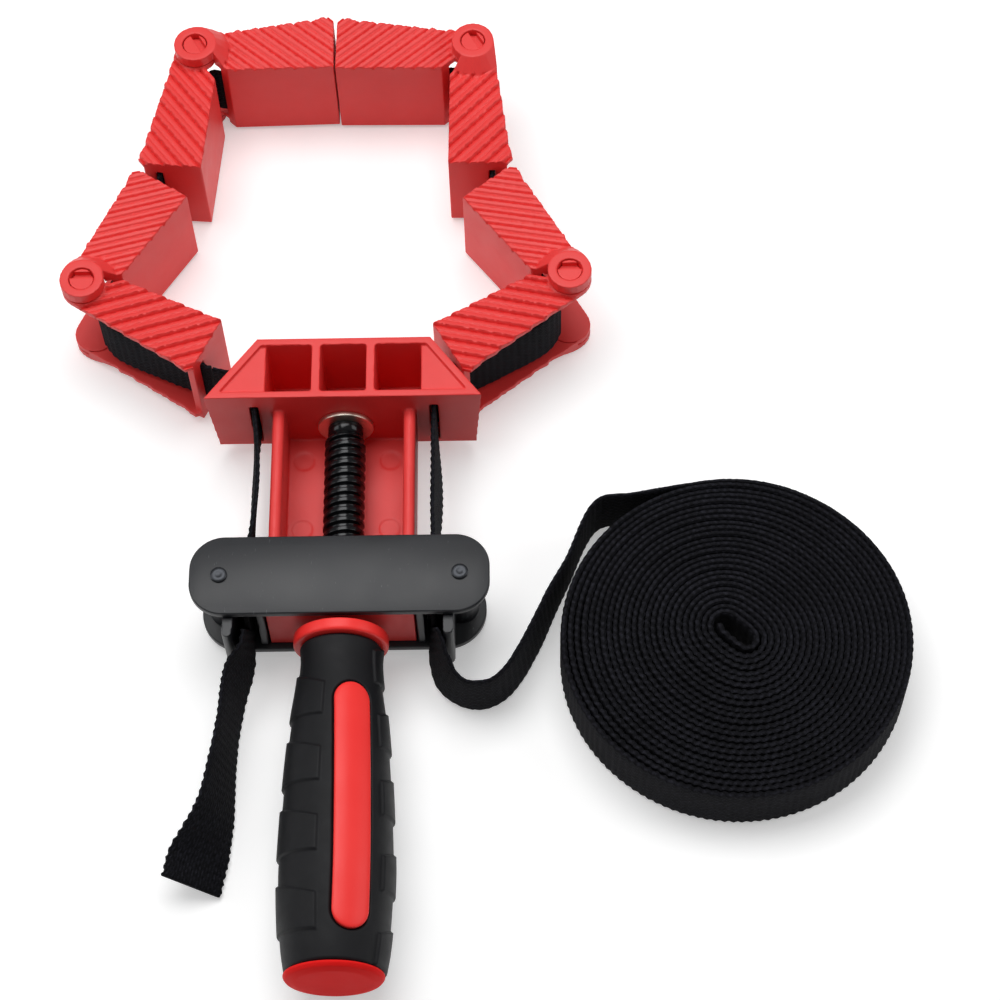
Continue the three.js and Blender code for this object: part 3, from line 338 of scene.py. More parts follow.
def moulded_plastic(name, colour, deep, roughness, specular=0.5, grain=1.0):
    """Injection-moulded plastic: cloudy colour, fine satin grain, slow waviness in the gloss."""
    n = new_material(name)
    slow = n.noise(scale=90.0, detail=2.0)
    fine = n.noise(scale=2600.0, detail=2.0)
    waves = n.bump(slow, strength=0.12 * grain, distance=0.0006)
    return n.finish(
        colour=n.ramp(n.noise(scale=38.0, detail=4.0), [(0.25, deep), (0.75, colour)]),
        roughness=n.between(n.noise(scale=140.0, detail=5.0), roughness - 0.07, roughness + 0.09),
        normal=n.bump(fine, strength=0.16 * grain, distance=0.00012, normal=waves),
        specular=specular,
    )


def scuffed_plastic(name, colour, light, roughness):
    """Dark satin plastic with faint handling scratches and dust."""
    n = new_material(name)
    cloud = n.noise(scale=45.0, detail=5.0)
    stretch = n.add("Mapping", {
        "Vector": n.object_place(), "Rotation": (0, 0, 0.5), "Scale": (6.0, 1.0, 1.0),
    }).outputs["Vector"]
    scratch = n.noise(scale=240.0, detail=6.0, roughness=0.7, vector=stretch)
    deep = n.maths("GREATER_THAN", scratch, 0.66)
    handled = n.maths("GREATER_THAN", cloud, 0.48)
    mix = n.add("Mix", data_type="RGBA")
    n.fill(mix, {
        "Factor": n.maths("MULTIPLY", n.maths("MULTIPLY", deep, handled), 0.6),
        "A": n.ramp(cloud, [(0.2, colour), (0.8, light)]), "B": (*linear(96, 98, 102), 1.0),
    })
    scratched = n.bump(scratch, strength=0.08, distance=0.0002)
    fine = n.noise(scale=1900.0, detail=2.0)
    return n.finish(
        colour=mix.outputs["Result"],
        roughness=n.between(cloud, roughness - 0.08, roughness + 0.1),
        normal=n.bump(fine, strength=0.2, distance=0.00012, normal=scratched),
    )


def soft_rubber(name, colour, light):
    """Matt moulded rubber with a fine grain."""
    n = new_material(name)
    return n.finish(
        colour=n.ramp(n.noise(scale=60.0, detail=5.0), [(0.25, colour), (0.8, light)]),
        roughness=n.between(n.noise(scale=180.0), 0.5, 0.68),
        normal=n.bump(n.noise(scale=3200.0, detail=2.0), strength=0.35, distance=0.00012),
        specular=0.27,
    )


def metal(name, colour, roughness, metallic=1.0):
    """Metal with a cloudy finish and a fine grain."""
    n = new_material(name)
    cloud = n.noise(scale=120.0, detail=5.0)
    dark = tuple(c * 0.82 for c in colour)
    return n.finish(
        colour=n.ramp(cloud, [(0.2, dark), (0.8, colour)]),
        roughness=n.between(cloud, roughness - 0.06, roughness + 0.08),
        normal=n.bump(n.noise(scale=1500.0, detail=3.0), strength=0.12, distance=0.0001),
        metallic=metallic,
    )


WEAVE_RIB = 3.1             # along the webbing, one rib and its valley
WEAVE_YARN = 1.25           # across it, one yarn
WEAVE_COLOURS = [(0.1, linear(5, 5, 7)), (0.45, linear(17, 17, 21)), (0.9, linear(37, 37, 44))]


def webbing_material(name):
    """Woven webbing: crosswise ribs of warp yarns, from the strap's own UV in ribs and yarns."""
    n = new_material(name)
    uv = n.add("UVMap", uv_map="strap").outputs["UV"]
    along, across, _ = n.add("SeparateXYZ", {"Vector": uv}).outputs
    shift = n.maths("MULTIPLY", n.maths("MODULO", n.maths("FLOOR", across), 2.0), 0.5)
    phase = n.maths("MULTIPLY", n.maths("ADD", along, shift), 2 * math.pi)
    rib = n.maths("MULTIPLY_ADD", n.maths("SINE", phase), 0.5, 0.5)
    yarn = n.maths("ABSOLUTE", n.maths("SINE", n.maths("MULTIPLY", across, math.pi)))
    slant = n.maths("MULTIPLY_ADD", along, 9.0, n.maths("MULTIPLY", across, 5.0))
    strand = n.maths("ABSOLUTE", n.maths("SINE", slant))
    cloth = n.maths("MULTIPLY", n.maths("MULTIPLY_ADD", rib, 0.6, 0.4), yarn)
    height = n.maths("MULTIPLY_ADD", strand, 0.22, cloth)
    fuzz = n.noise(scale=2200.0, detail=4.0, roughness=0.7)
    dirt = n.noise(scale=70.0, detail=4.0)
    dust = n.noise(scale=850.0, detail=3.0, roughness=0.7)
    speck = n.maths("MULTIPLY_ADD", dust, 1.5, -0.1)
    worn = n.maths("MULTIPLY", n.maths("MULTIPLY_ADD", dirt, 0.6, 0.7), speck)
    # Painted shade: the webbing's colour darkens in the valleys of the weave by their height, mixed with real dirt
    # and dust
    valley_shade_and_dirt = n.maths("MULTIPLY", n.maths("MULTIPLY_ADD", height, 0.6, 0.42), worn)
    whole = n.maths("MULTIPLY_ADD", fuzz, 0.3, height)
    return n.finish(
        colour=n.ramp(valley_shade_and_dirt, WEAVE_COLOURS), normal=n.bump(whole, strength=0.75, distance=0.00045),
        roughness=0.86, specular=0.12,
    )


RED = moulded_plastic("red_plastic", linear(238, 66, 64), linear(230, 57, 55), 0.45, specular=0.4)
RED_GLOSS = moulded_plastic(
    "red_handle_plastic", linear(255, 56, 52), linear(250, 48, 45), 0.38, specular=0.35, grain=0.6,
)
# Painted shade: the cap's red is a darker copy of the handle's red, with little specular
RED_CAP_SHADED = moulded_plastic(
    "red_cap_plastic", linear(246, 36, 35), linear(236, 30, 29), 0.5, specular=0.05, grain=0.6,
)
RUBBER = soft_rubber("black_rubber", linear(11, 12, 15), linear(18, 18, 22))
YOKE = scuffed_plastic("dark_satin_plastic", linear(19, 21, 25), linear(28, 30, 35), 0.42)
THREAD = metal("black_oxide_steel", linear(20, 21, 24), 0.16, metallic=0.35)
BRIGHT = metal("zinc_plated_steel", linear(236, 229, 214), 0.36)
RIVET = metal("blued_rivet_steel", linear(58, 60, 64), 0.34, metallic=0.8)
BRASS = metal("nut_brass", linear(190, 150, 84), 0.3)
WEBBING = webbing_material("black_webbing")


# Webbing
BAND_WIDTH = 25.0
BAND_THICK = 1.9
BAND_LOW = own_box("left_run_band")[0].z
BAND_MIDDLE = BAND_LOW + BAND_WIDTH / 2
SCALLOP = 0.27              # waves of the selvedge, one for each rib
SCALLOP_SHIFT_SHARE = 0.37  # of a rib, between the waves of the two selvedges
FRAY = 0.16                 # unevenness of the selvedge, stitch by stitch
SEED = 7
RIB = 0.17                  # height of the ribs
EDGE_NEAR = 0.15            # this far in from its edge the webbing has a share of its thickness
EDGE_SHARE = 0.75
EDGE_FAR = 0.8              # and this far in all of it
STRAP_STEP = WEAVE_RIB / 4


def strap_section(run, thick=BAND_THICK, rough=(0.0, 0.0)):
    """Ring of (across, through) places for one station of a strap, with ribs and a wavy selvedge."""
    edge = BAND_WIDTH / 2 - SCALLOP - FRAY
    half = thick / 2 - RIB
    turns = run / WEAVE_RIB
    front = half + RIB * math.cos(2 * math.pi * turns)
    back = half + RIB * math.cos(2 * math.pi * (turns + 0.5))
    top = edge + SCALLOP * math.cos(2 * math.pi * turns) + rough[0]
    low = edge + SCALLOP * math.cos(2 * math.pi * (turns + SCALLOP_SHIFT_SHARE)) + rough[1]
    face = [
        (-low + EDGE_NEAR, EDGE_SHARE), (-low + EDGE_FAR, 1.0), (-edge / 2, 1.0), (0.0, 1.0),
        (edge / 2, 1.0), (top - EDGE_FAR, 1.0), (top - EDGE_NEAR, EDGE_SHARE),
    ]
    front_face = [(across, share * front) for across, share in face]
    back_face = [(across, -share * back) for across, share in reversed(face)]
    return [(-low, 0.0), *front_face, (top, 0.0), *back_face]


def strap(name, centres, across, nodes, body=None, thick=BAND_THICK):
    """Webbing whose middle follows the centres, with its width along the across vectors, and its length.

    It replaces the nodes. It rides on the body, if one is given.
    """
    centres = np.asarray(centres, float)
    across = np.broadcast_to(np.asarray(across, float), centres.shape).copy()
    along = np.gradient(centres, axis=0)
    along /= np.linalg.norm(along, axis=1)[:, None]
    across -= (across * along).sum(1)[:, None] * along
    across /= np.linalg.norm(across, axis=1)[:, None]
    through = np.cross(along, across)
    run = np.concatenate([[0], np.cumsum(np.linalg.norm(np.diff(centres, axis=0), axis=1))])
    points = []
    rough = np.random.default_rng(SEED).uniform(-FRAY, FRAY, (len(centres), 2))
    full = np.broadcast_to(thick, len(centres))
    for c, a, t, s, f, r in zip(centres, across, through, run, full, rough):
        for out, deep in strap_section(s, f, r):
            points.append(c + a * out + t * deep)
    columns = len(strap_section(0.0))
    rows = len(centres)
    piece = mesh_object(name, points, ring_faces(rows, columns), WEBBING)
    uv = piece.data.uv_layers.new(name="strap")
    girth = [0.0]
    section = strap_section(0.0)
    for a, b in zip(section, section[1:] + section[:1]):
        girth.append(girth[-1] + math.dist(a, b))
    for polygon in piece.data.polygons:
        for loop in polygon.loop_indices:
            vertex = piece.data.loops[loop].vertex_index
            row, column = divmod(vertex, columns)
            if len(polygon.vertices) == 4 and column == 0:
                others = [v % columns for v in polygon.vertices]
                column = columns if columns - 1 in others else 0
            uv.data[loop].uv = (run[row] / WEAVE_RIB, girth[column] / WEAVE_YARN)
    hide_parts(*nodes)
    if body:
        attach(piece, body)
    return piece, run[-1]


# Feed and coil
COIL = {
    "x": 141.7, "y": -23.4, "outer": 62.0, "turns": 24, "pitch": 2.35,
    "leave": math.radians(100), "straight": 25.0, "steps": 96,
    "thick": 2.4,               # wound webbing lies almost without gaps
    "slack": 1.3, "slack_turns": 4.0, "slack_turn": 0.25,
    "bulge": 2.6, "bulge_turn": -1.35,
    "shade_plug_turns": 0.8, "shade_plug_draw": 1.6,   # the last part of a turn is drawn in to close the hole in the middle, as painted shade in dark webbing
    "spread": 4.5, "spread_turn": math.radians(-42), "spread_round": 0.12,
}
WANDER = ((0.55, 2, 1.1), (0.4, 3, 2.3))   # height of a wave round the coil, its count and its turn
WINDING_STEPS = 40          # strap steps over which the webbing takes the thickness of the coil
GAP = 0.3
YOKE_NEAR = own_box("right_yoke_band")[0].y
HEAD_FRONT = own_box("left_run_band")[1].y + GAP
BAND_X = (own_box("right_run_band")[0].x + own_box("right_run_band")[1].x) / 2


def coil_point(turns_in, angle):
    """A point of the spiral, turns_in turns from the outside: loose on the left, drawn out at the hole, where the
    last part lies as painted shade.
    """
    shade_plug_turns = max(0.0, turns_in - COIL["turns"])
    distance = COIL["outer"] - COIL["pitch"] * turns_in - COIL["shade_plug_draw"] * shade_plug_turns
    share = distance / COIL["outer"]
    loose = max(0.0, 1 - turns_in / COIL["slack_turns"])
    slack = COIL["slack"] * loose * max(0.0, -math.cos(angle - COIL["slack_turn"])) ** 2
    wander = sum(height * math.sin(count * angle + turn) for height, count, turn in WANDER)
    wander += COIL["bulge"] * max(0.0, math.cos(angle - COIL["bulge_turn"])) ** 3
    radius = distance + slack + wander * share
    lie = COIL["spread_turn"]
    along = math.cos(angle - lie)
    stretch = COIL["spread"] * (1 - share) ** 0.6 * along / math.sqrt(along ** 2 + COIL["spread_round"])
    return (
        COIL["x"] + stretch * math.cos(lie) + radius * math.cos(angle),
        COIL["y"] + stretch * math.sin(lie) + radius * math.sin(angle),
    )


def coil_lift(turns_in, angle):
    """How far a turn stands up from the table, uneven and fading out where the feed joins it."""
    lift = 0.35 + 0.3 * math.sin(2.1 * turns_in) + 0.2 * math.sin(1.5 * angle + turns_in)
    return max(0.0, lift) * min(1.0, turns_in / 0.6)


def build_feed():
    """The strap from the yoke over the table into the coil, in one piece."""
    leave = COIL["leave"]
    spiral = []
    for i in range(int((COIL["turns"] + COIL["shade_plug_turns"]) * COIL["steps"]) + 1):
        turns_in = i / COIL["steps"]
        angle = leave - 2 * math.pi * turns_in
        spiral.append((*coil_point(turns_in, angle), coil_lift(turns_in, angle)))
    spiral = np.array(spiral)
    start = np.array([COIL["x"], COIL["y"]])
    start += COIL["outer"] * np.array([math.cos(leave), math.sin(leave)])
    away = np.array([-math.sin(leave), math.cos(leave)])
    near = start + away * (COIL["straight"] * 0.45)
    far = start + away * (COIL["straight"] + GAP)
    farther = far + away * (COIL["straight"] / 2)
    # Places of the lower edge, and how far the strap leans over from it
    feed = [
        (BAND_X, YOKE_NEAR - GAP, BAND_LOW, 0.0, 0.0),
        (32.7, -22.4, 6.4, 0.15, -0.08),
        (32.1, -26.8, 4.0, 0.25, -0.12),
        (34.1, -33.3, 1.8, 0.25, -0.1),
        (38.2, -37.6, 0.8, 0.16, -0.05),
        (43.0, -40.3, 0.2, 0.08, -0.03),
        (48.7, -41.5, 0.0, 0.02, 0.0),
        (54.3, -40.3, 0.0, 0.0, 0.0),
        (59.9, -36.4, 0.0, -0.03, 0.03),
        (64.8, -30.0, 0.0, -0.06, 0.04),
        (68.9, -22.5, 0.0, -0.07, 0.04),
        (72.3, -15.5, 0.0, -0.07, 0.04),
        (76.3, -5.5, 0.0, -0.05, 0.02),
        (81.5, 6.5, 0.0, 0.0, 0.0),
        (farther[0], farther[1], 0.0, 0.0, 0.0),
        (far[0], far[1], 0.0, 0.0, 0.0),
        (near[0], near[1], 0.0, 0.0, 0.0),
    ]
    half = BAND_WIDTH / 2
    middle = [
        (x + half * lean, y + half * nod, z + half * math.sqrt(1 - lean ** 2 - nod ** 2), lean, nod)
        for x, y, z, lean, nod in feed
    ]
    coil = np.hstack([spiral + (0, 0, half), np.zeros((len(spiral), 2))])
    first = smooth_line(middle + [tuple(coil[0])], STRAP_STEP)
    line = even_steps(np.vstack([first[:-1], coil]), STRAP_STEP)
    across = np.hstack([line[:, 3:], np.sqrt(1 - (line[:, 3:] ** 2).sum(1))[:, None]])
    wound = soft_step(np.arange(len(line)) - len(first), WINDING_STEPS)
    thick = BAND_THICK + wound * (COIL["thick"] - BAND_THICK)
    piece, length = strap(
        "feed_and_coil", line[:, :3], across, nodes=("feed_band", "coil_band"), thick=thick,
    )
    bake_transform(piece)


def build_tail():
    """The short end, which leaves the yoke on edge and turns over until it lies on the table."""
    # Places of its middle, and how steeply it stands in degrees
    stations = [
        (-BAND_X, YOKE_NEAR - GAP, BAND_MIDDLE, 90),
        (-34.6, -25.0, 18.3, 93),
        (-36.8, -31.5, 15.8, 102),
        (-38.7, -39.0, 13.9, 103),
        (-40.5, -53.0, 12.5, 101),
        (-42.1, -69.5, 12.0, 106),
        (-43.8, -84.6, 11.3, 115),
        (-46.6, -94.0, 10.0, 126),
        (-49.8, -102.5, 7.8, 140),
        (-51.5, -111.0, 7.6, 142),
    ]
    line = smooth_line(stations, STRAP_STEP)
    centres = line[:, :3].copy()
    twist = np.radians(line[:, 3])
    along = np.gradient(centres, axis=0)
    flat = np.stack([-along[:, 1], along[:, 0], 0 * along[:, 0]], 1)
    flat /= np.linalg.norm(flat, axis=1)[:, None]
    across = flat * np.cos(twist)[:, None] + np.array([0, 0, 1]) * np.sin(twist)[:, None]
    least = BAND_WIDTH / 2 * np.sin(twist) + BAND_THICK / 2 * np.abs(np.cos(twist))
    centres[:, 2] = np.maximum(centres[:, 2], least)
    piece, length = strap("tail", centres, across, body="yoke", nodes=("tail_band",))


build_feed()
build_tail()


# Webbing on the clamp itself
RUN_SHARES = (0.0, 0.12, 0.45, 0.75, 1.0)
RUN_WAVE = {"left": (0.0, 0.2, 0.5, 0.25, 0.0), "right": (0.0, 0.2, 0.8, 0.4, 0.0)}
RUN_TWIST = {"left": 0.16, "right": -0.1}


def build_runs():
    """The strap beside the channel, a little wavy and twisted, and its straight part in the yoke."""
    for side, sign in (("left", -1), ("right", 1)):
        low, high = own_box(f"{side}_run_band")
        x = sign * BAND_X
        line = smooth_line([
            (x + out, high.y - (high.y - low.y) * share, BAND_MIDDLE)
            for share, out in zip(RUN_SHARES, RUN_WAVE[side])
        ], STRAP_STEP)
        twist = np.sin(np.linspace(0, math.pi, len(line))) * RUN_TWIST[side]
        across = np.stack([np.sin(twist), 0 * twist, np.cos(twist)], 1)
        piece, _ = strap(f"{side}_run", line, across, nodes=(f"{side}_run_band",))
        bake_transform(piece)
        low, high = own_box(f"{side}_yoke_band")
        line = smooth_line([(x, high.y, BAND_MIDDLE), (x, low.y, BAND_MIDDLE)], STRAP_STEP)
        strap(f"{side}_yoke_strap", line, (0, 0, 1), body="yoke", nodes=(f"{side}_yoke_band",))


build_runs()


# Jaw arms
ARM = {
    "length": 54.6, "slot_offset": 8.0, "pin_offset": 4.9, "web_start": 9.4, "web_near": (6.2, 4.2),
    "wall": 3.0, "fold_gap": 0.55,
}
LAST_ARM_ANGLE = {"left": math.radians(1.1), "right": math.radians(179.1)}
REACH = {"left": (4.0, 3.1, 3.1, 0.45), "right": (0.9, 3.1, 3.1, 0.45)}    # from each arm's tip to its fold
HEAD_SLANT = {"half_front": 51.5, "half_back": 32.4, "back": 92.1, "wall": 2.8, "slot_share": 0.404}


class Arm:
    """Where one arm lies: its pin, the angle from the pin to the tip, and its handedness."""

    def __init__(self, side, number):
        self.side = side
        self.number = number
        self.name = f"{side}_arm_{number}"
        sign = 1 if side == "right" else -1
        self.inward = sign * (-1 if number % 2 == 1 else 1)
        pin = "lower" if number < 3 else "upper"
        self.pin = own_joint(f"{side}_{pin}_pin_turn")
        fold = {1: "head_fold", 2: "middle_fold", 3: "middle_fold"}.get(number)
        self.reach = REACH[side][number - 1]
        if fold:
            to = own_joint(f"{side}_{fold}") - self.pin
            lean = math.atan2(-ARM["slot_offset"] * self.inward, ARM["length"] + self.reach)
            self.angle = math.atan2(to.y, to.x) - lean
        else:
            self.angle = LAST_ARM_ANGLE[side]

    def out(self, points):
        """Local points to the part's own frame."""
        p = np.asarray(points, float)
        c, s = math.cos(self.angle), math.sin(self.angle)
        x = self.pin.x + p[:, 0] * c - p[:, 1] * s
        y = self.pin.y + p[:, 0] * s + p[:, 1] * c
        return np.stack([x, y, p[:, 2]], 1)

    def local_matrix(self):
        """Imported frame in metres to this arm's local millimetres."""
        to_pin = Matrix.Translation(-Vector((self.pin.x, self.pin.y, 0)))
        return Matrix.Rotation(-self.angle, 4, "Z") @ to_pin @ OWN_MATRIX


OWN_MATRIX = Matrix.Scale(1 / MM, 4) @ Matrix.Translation(-ROOT)
arms = {(side, number): Arm(side, number) for side in ("left", "right") for number in (1, 2, 3, 4)}


MERGE = 0.001               # corners nearer than this are one
SMOOTHING = 0.5
SMOOTH_PASSES = 3
NORMAL_WEIGHT = 60


def with_modifiers(mesh, modifiers):
    """A mesh after its modifiers, each a name, a kind and settings. It takes the place of the first one."""
    piece = new_object("work", mesh)
    for name, kind, settings in modifiers:
        modifier = piece.modifiers.new(name, kind)
        for key, value in settings.items():
            setattr(modifier, key, value)
    result = bpy.data.meshes.new_from_object(piece.evaluated_get(bpy.context.evaluated_depsgraph_get()))
    bpy.data.objects.remove(piece)
    bpy.data.meshes.remove(mesh)
    return result


def fine_copy(node, matrix, voxel):
    """A closed fine mesh of a node in local millimetres, with its edges rounded as a moulding's are."""
    source = frame["nodes"][node].data.copy()
    source.transform(matrix)
    mesh = bmesh.new()
    mesh.from_mesh(source)
    bmesh.ops.remove_doubles(mesh, verts=mesh.verts, dist=MERGE)
    mesh.to_mesh(source)
    mesh.free()
    return with_modifiers(source, [
        ("remesh", "REMESH", {"mode": "VOXEL", "voxel_size": voxel, "adaptivity": 0.0}),
        ("smooth", "SMOOTH", {"factor": SMOOTHING, "iterations": SMOOTH_PASSES}),
    ])


def thinned(mesh, ratio):
    """The same surface with fewer faces, and normals that follow the larger faces."""
    mesh.shade_smooth()
    return with_modifiers(mesh, [
        ("thin", "DECIMATE", {"ratio": ratio}),
        ("normals", "WEIGHTED_NORMAL", {"weight": NORMAL_WEIGHT}),
    ])


def moulding(node, material, matrix=OWN_MATRIX, voxel=0.34, ratio=0.3, shape=None):
    """The visible piece for a moulded node: a fine copy with rounded edges."""
    mesh = fine_copy(node, matrix, voxel)
    if shape is not None:
        co = np.empty(len(mesh.vertices) * 3)
        mesh.vertices.foreach_get("co", co)
        mesh.vertices.foreach_set("co", shape(co.reshape(-1, 3)).ravel())
        mesh.update()
    mesh = thinned(mesh, ratio)
    mesh.transform(matrix.inverted())
    mesh.shade_smooth()
    mesh.name = node + "_moulding"
    mesh.materials.clear()
    mesh.materials.append(material)
    stand_for(new_object(node + "_moulding", mesh), node)


RIBS = {
    "pitch": 5.3, "angle": math.radians(42), "span": ARM["length"] + 16.0,
    "groove": 1.3,              # depth at the step between two ribs
    "fine": 0.45,               # and in the middle of a rib
    "half": 0.66,               # half the width of a groove
    "above": 0.1, "below": 1.8,   # from the top face, the layer that is grooved
    "pin_clear": 8.8,           # radius round the pin that stays smooth
}


def rib_grooves(arm):
    """Sharpens the steps between the slanted ribs on an arm's upper face."""
    top = own_box("left_arm_1")[1].z
    turn = arm.inward * (RIBS["angle"] - math.pi / 2)

    def shape(co):
        run = co[:, 0] * math.cos(turn) + co[:, 1] * math.sin(turn) + RIBS["span"]
        phase = np.mod(run, RIBS["pitch"])
        step = np.minimum(phase, RIBS["pitch"] - phase)
        middle = np.abs(phase - RIBS["pitch"] / 2)
        depth = RIBS["groove"] * np.clip(1 - step / RIBS["half"], 0, 1)
        depth += RIBS["fine"] * np.clip(1 - middle / RIBS["half"], 0, 1)
        layer = (co[:, 2] < top + RIBS["above"]) & (co[:, 2] > top - RIBS["below"])
        co[:, 2] -= depth * (layer & (np.hypot(co[:, 0], co[:, 1]) > RIBS["pin_clear"]))
        return co

    return shape


def build_arms():
    for arm in arms.values():
        moulding(arm.name, RED, matrix=arm.local_matrix(), shape=rib_grooves(arm))


build_arms()
moulding("head_frame", RED, voxel=0.4, ratio=0.25)
moulding("nut_carrier", YOKE, voxel=0.5)
for cam in ("left_cam", "right_cam"):
    moulding(cam, YOKE, voxel=0.4)
for pin_name in [name for name in body_of_node if name.endswith("_pin")]:
    moulding(pin_name, RED, voxel=0.2, ratio=0.4)


# Webbing in the arms: taut, in shares of the way along and across, or swung round to the open side
# of the arm, in shares of its length and of the slot's offset
TAUT_SHARES = [(0, 0), (0.33, 0.3), (0.67, 0.66), (0.92, 0.97), (1, 1)]
SLACK_SHARES = [
    (0.084, -0.35), (0.090, -0.04), (0.114, 0.33), (0.176, 0.68), (0.262, 0.94),
    (0.366, 1.04), (0.55, 1.05), (0.78, 1.04), (0.9, 1),
]


def arm_line(arm):
    """The webbing's middle from beside the pin to the fold, and the point from which it is this arm's."""
    end = (ARM["length"] + arm.reach - ARM["fold_gap"], -arm.inward * ARM["slot_offset"])
    if arm.number == 1:
        local = [(ARM["length"] * a, -arm.inward * ARM["slot_offset"] * o) for a, o in SLACK_SHARES]
        near = local[2]
    else:
        straight = ARM["length"] - ARM["wall"] - BAND_THICK - ARM["web_start"]
        across = ARM["slot_offset"] + ARM["pin_offset"]
        near = (ARM["web_near"][0], arm.inward * ARM["web_near"][1])
        local = [near] + [
            (ARM["web_start"] + a * straight, arm.inward * (ARM["pin_offset"] - o * across))
            for a, o in TAUT_SHARES
        ]
    line = arm.out([(x, y, BAND_MIDDLE) for x, y in local + [end]])
    return line, arm.out([(*near, BAND_MIDDLE)])


def build_arm_webbing():
    for side in ("left", "right"):
        for first, second in ((1, 2), (3, 4)):
            line_a, near_a = arm_line(arms[side, first])
            line_b, near_b = arm_line(arms[side, second])
            line = smooth_line(np.vstack([line_a[::-1], line_b]), STRAP_STEP)
            piece, _ = strap(
                f"{side}_{'lower' if first == 1 else 'upper'}_jaw_strap", line, (0, 0, 1),
                nodes=(f"{side}_arm_{first}_band", f"{side}_arm_{second}_band"),
            )
            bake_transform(piece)
        build_head_strap(side, 1 if side == "right" else -1)


def build_head_strap(side, sign):
    """The webbing from the fold through the head's slanted side and round into the run."""
    fold = own_joint(f"{side}_head_fold")
    angle = arms[side, 1].angle
    outside = (fold.x + math.cos(angle) * ARM["fold_gap"], fold.y + math.sin(angle) * ARM["fold_gap"])
    head = HEAD_SLANT
    along = np.array([head["half_front"] - head["half_back"], HEAD_FRONT - head["back"]])
    out = np.array([-along[1], along[0]]) / np.linalg.norm(along)
    inside = np.array([head["half_back"], head["back"]]) + along * head["slot_share"]
    inside -= out * head["wall"] / 2
    path = [
        outside, (sign * inside[0], inside[1]),
        (sign * (BAND_X + BAND_THICK / 2), HEAD_FRONT + 3 * head["wall"]),
        (sign * BAND_X, HEAD_FRONT + 2 * head["wall"]), (sign * BAND_X, HEAD_FRONT),
    ]
    line = smooth_line([(x, y, BAND_MIDDLE) for x, y in path], STRAP_STEP)
    strap(f"{side}_head_strap", line, (0, 0, 1), body="frame", nodes=(f"{side}_head_band",))


build_arm_webbing()


# Yoke plates with their full round ends and a small chamfer, and the rivets through them
PLATE_CHAMFER = 0.45
PLATE_EASE_SHARE = 0.3      # of the chamfer, where its flat is broken once


def rounded_plate(name, node, corner):
    low, high = own_box(node)
    ease = PLATE_CHAMFER * PLATE_EASE_SHARE
    rows = [
        rounded_outline(low, high, corner, inset, z)
        for inset, z in (
            (PLATE_CHAMFER, low.z), (ease, low.z + ease), (0.0, low.z + PLATE_CHAMFER),
            (0.0, high.z - PLATE_CHAMFER), (ease, high.z - ease), (PLATE_CHAMFER, high.z),
        )
    ]
    points = [p for row in rows for p in row]
    piece = mesh_object(name, points, ring_faces(len(rows), len(rows[0])), YOKE)
    stand_for(piece, node)


def rounded_outline(low, high, corner, inset, z):
    """A box's outline at one height, drawn in by the inset, with round corners."""
    steps = 28
    r = corner - inset
    points = []
    for k, (x, y) in enumerate((
        (high.x - corner, low.y + corner), (high.x - corner, high.y - corner),
        (low.x + corner, high.y - corner), (low.x + corner, low.y + corner),
    )):
        for i in range(steps + 1):
            angle = (k - 1) * math.pi / 2 + math.pi / 2 * i / steps
            points.append((x + r * math.cos(angle), y + r * math.sin(angle), z))
    return points


rounded_plate("yoke_top", "yoke_top_plate", corner=12.5)
rounded_plate("yoke_bottom", "yoke_bottom_plate", corner=15.1)


def sharpen(piece, degrees):
    """Keeps edges steeper than the angle crisp in the shading."""
    piece.data.set_sharp_from_angle(angle=math.radians(degrees))


def build_rivets():
    """Rivets with a chamfered head at each end and a shallow dimple on top."""
    shank = 2.1
    chamfer = 0.35
    lower_chamfer = 0.3
    chamfer_share = 0.84
    lower_share = 0.82
    dimple = 0.12
    dimple_shares = (0.4, 0.3)
    lift = 0.05                 # of the heads from the plates
    top = own_box("yoke_top_plate")[1].z + lift
    bottom = own_box("yoke_bottom_plate")[0].z - lift
    for side in ("left", "right"):
        low, high = own_box(f"{side}_rivet")
        head = (high.x - low.x) / 2
        profile = [
            (low.z, 0.0), (low.z, head * lower_share), (low.z + lower_chamfer, head), (bottom, head),
            (bottom, shank), (top, shank), (top, head), (high.z - chamfer, head),
            (high.z, head * chamfer_share), (high.z, head * dimple_shares[0]),
            (high.z - dimple, head * dimple_shares[1]), (high.z - dimple, 0.0),
        ]
        spot = about_upright((low.x + high.x) / 2, (low.y + high.y) / 2)
        piece = turned_object(f"{side}_rivet_finish", profile, RIVET, spot, steps=64)
        sharpen(piece, 40)
        stand_for(piece, f"{side}_rivet")


build_rivets()


# Spindle, washer, clip and nut
SPINDLE = {
    "major": 7.7, "depth": 1.5, "lead": 4.0, "rows_per_lead": 22, "crest_shares": (0.14, 0.76),
    "run_in_share": 0.8, "run_out_share": 0.5,   # of the lead, where the thread grows and dies out
    "end_wall": 3.5, "thread_end": 60.5, "shoulder": 6.6, "tip": 5.2, "groove": 4.3,
    "chamfer": 0.5, "clear": 0.15,
}
TURNED_STEPS = 72


def thread_rows(start, end):
    """Rows of y and the radii round it of a single-start thread."""
    lead = SPINDLE["lead"]
    root = SPINDLE["major"] - SPINDLE["depth"]
    first, last = SPINDLE["crest_shares"]
    run_in = lead * SPINDLE["run_in_share"]
    run_out = lead * SPINDLE["run_out_share"]
    turn = np.arange(TURNED_STEPS) / TURNED_STEPS
    for y in np.linspace(start, end, int((end - start) / lead * SPINDLE["rows_per_lead"]) + 1):
        fade = min(1.0, (y - start) / run_in, (end - y) / run_out)
        wave = 0.5 + 0.5 * np.cos(2 * math.pi * (y / lead + turn))
        yield y, root + SPINDLE["depth"] * fade * soft_step(wave - first, last - first)


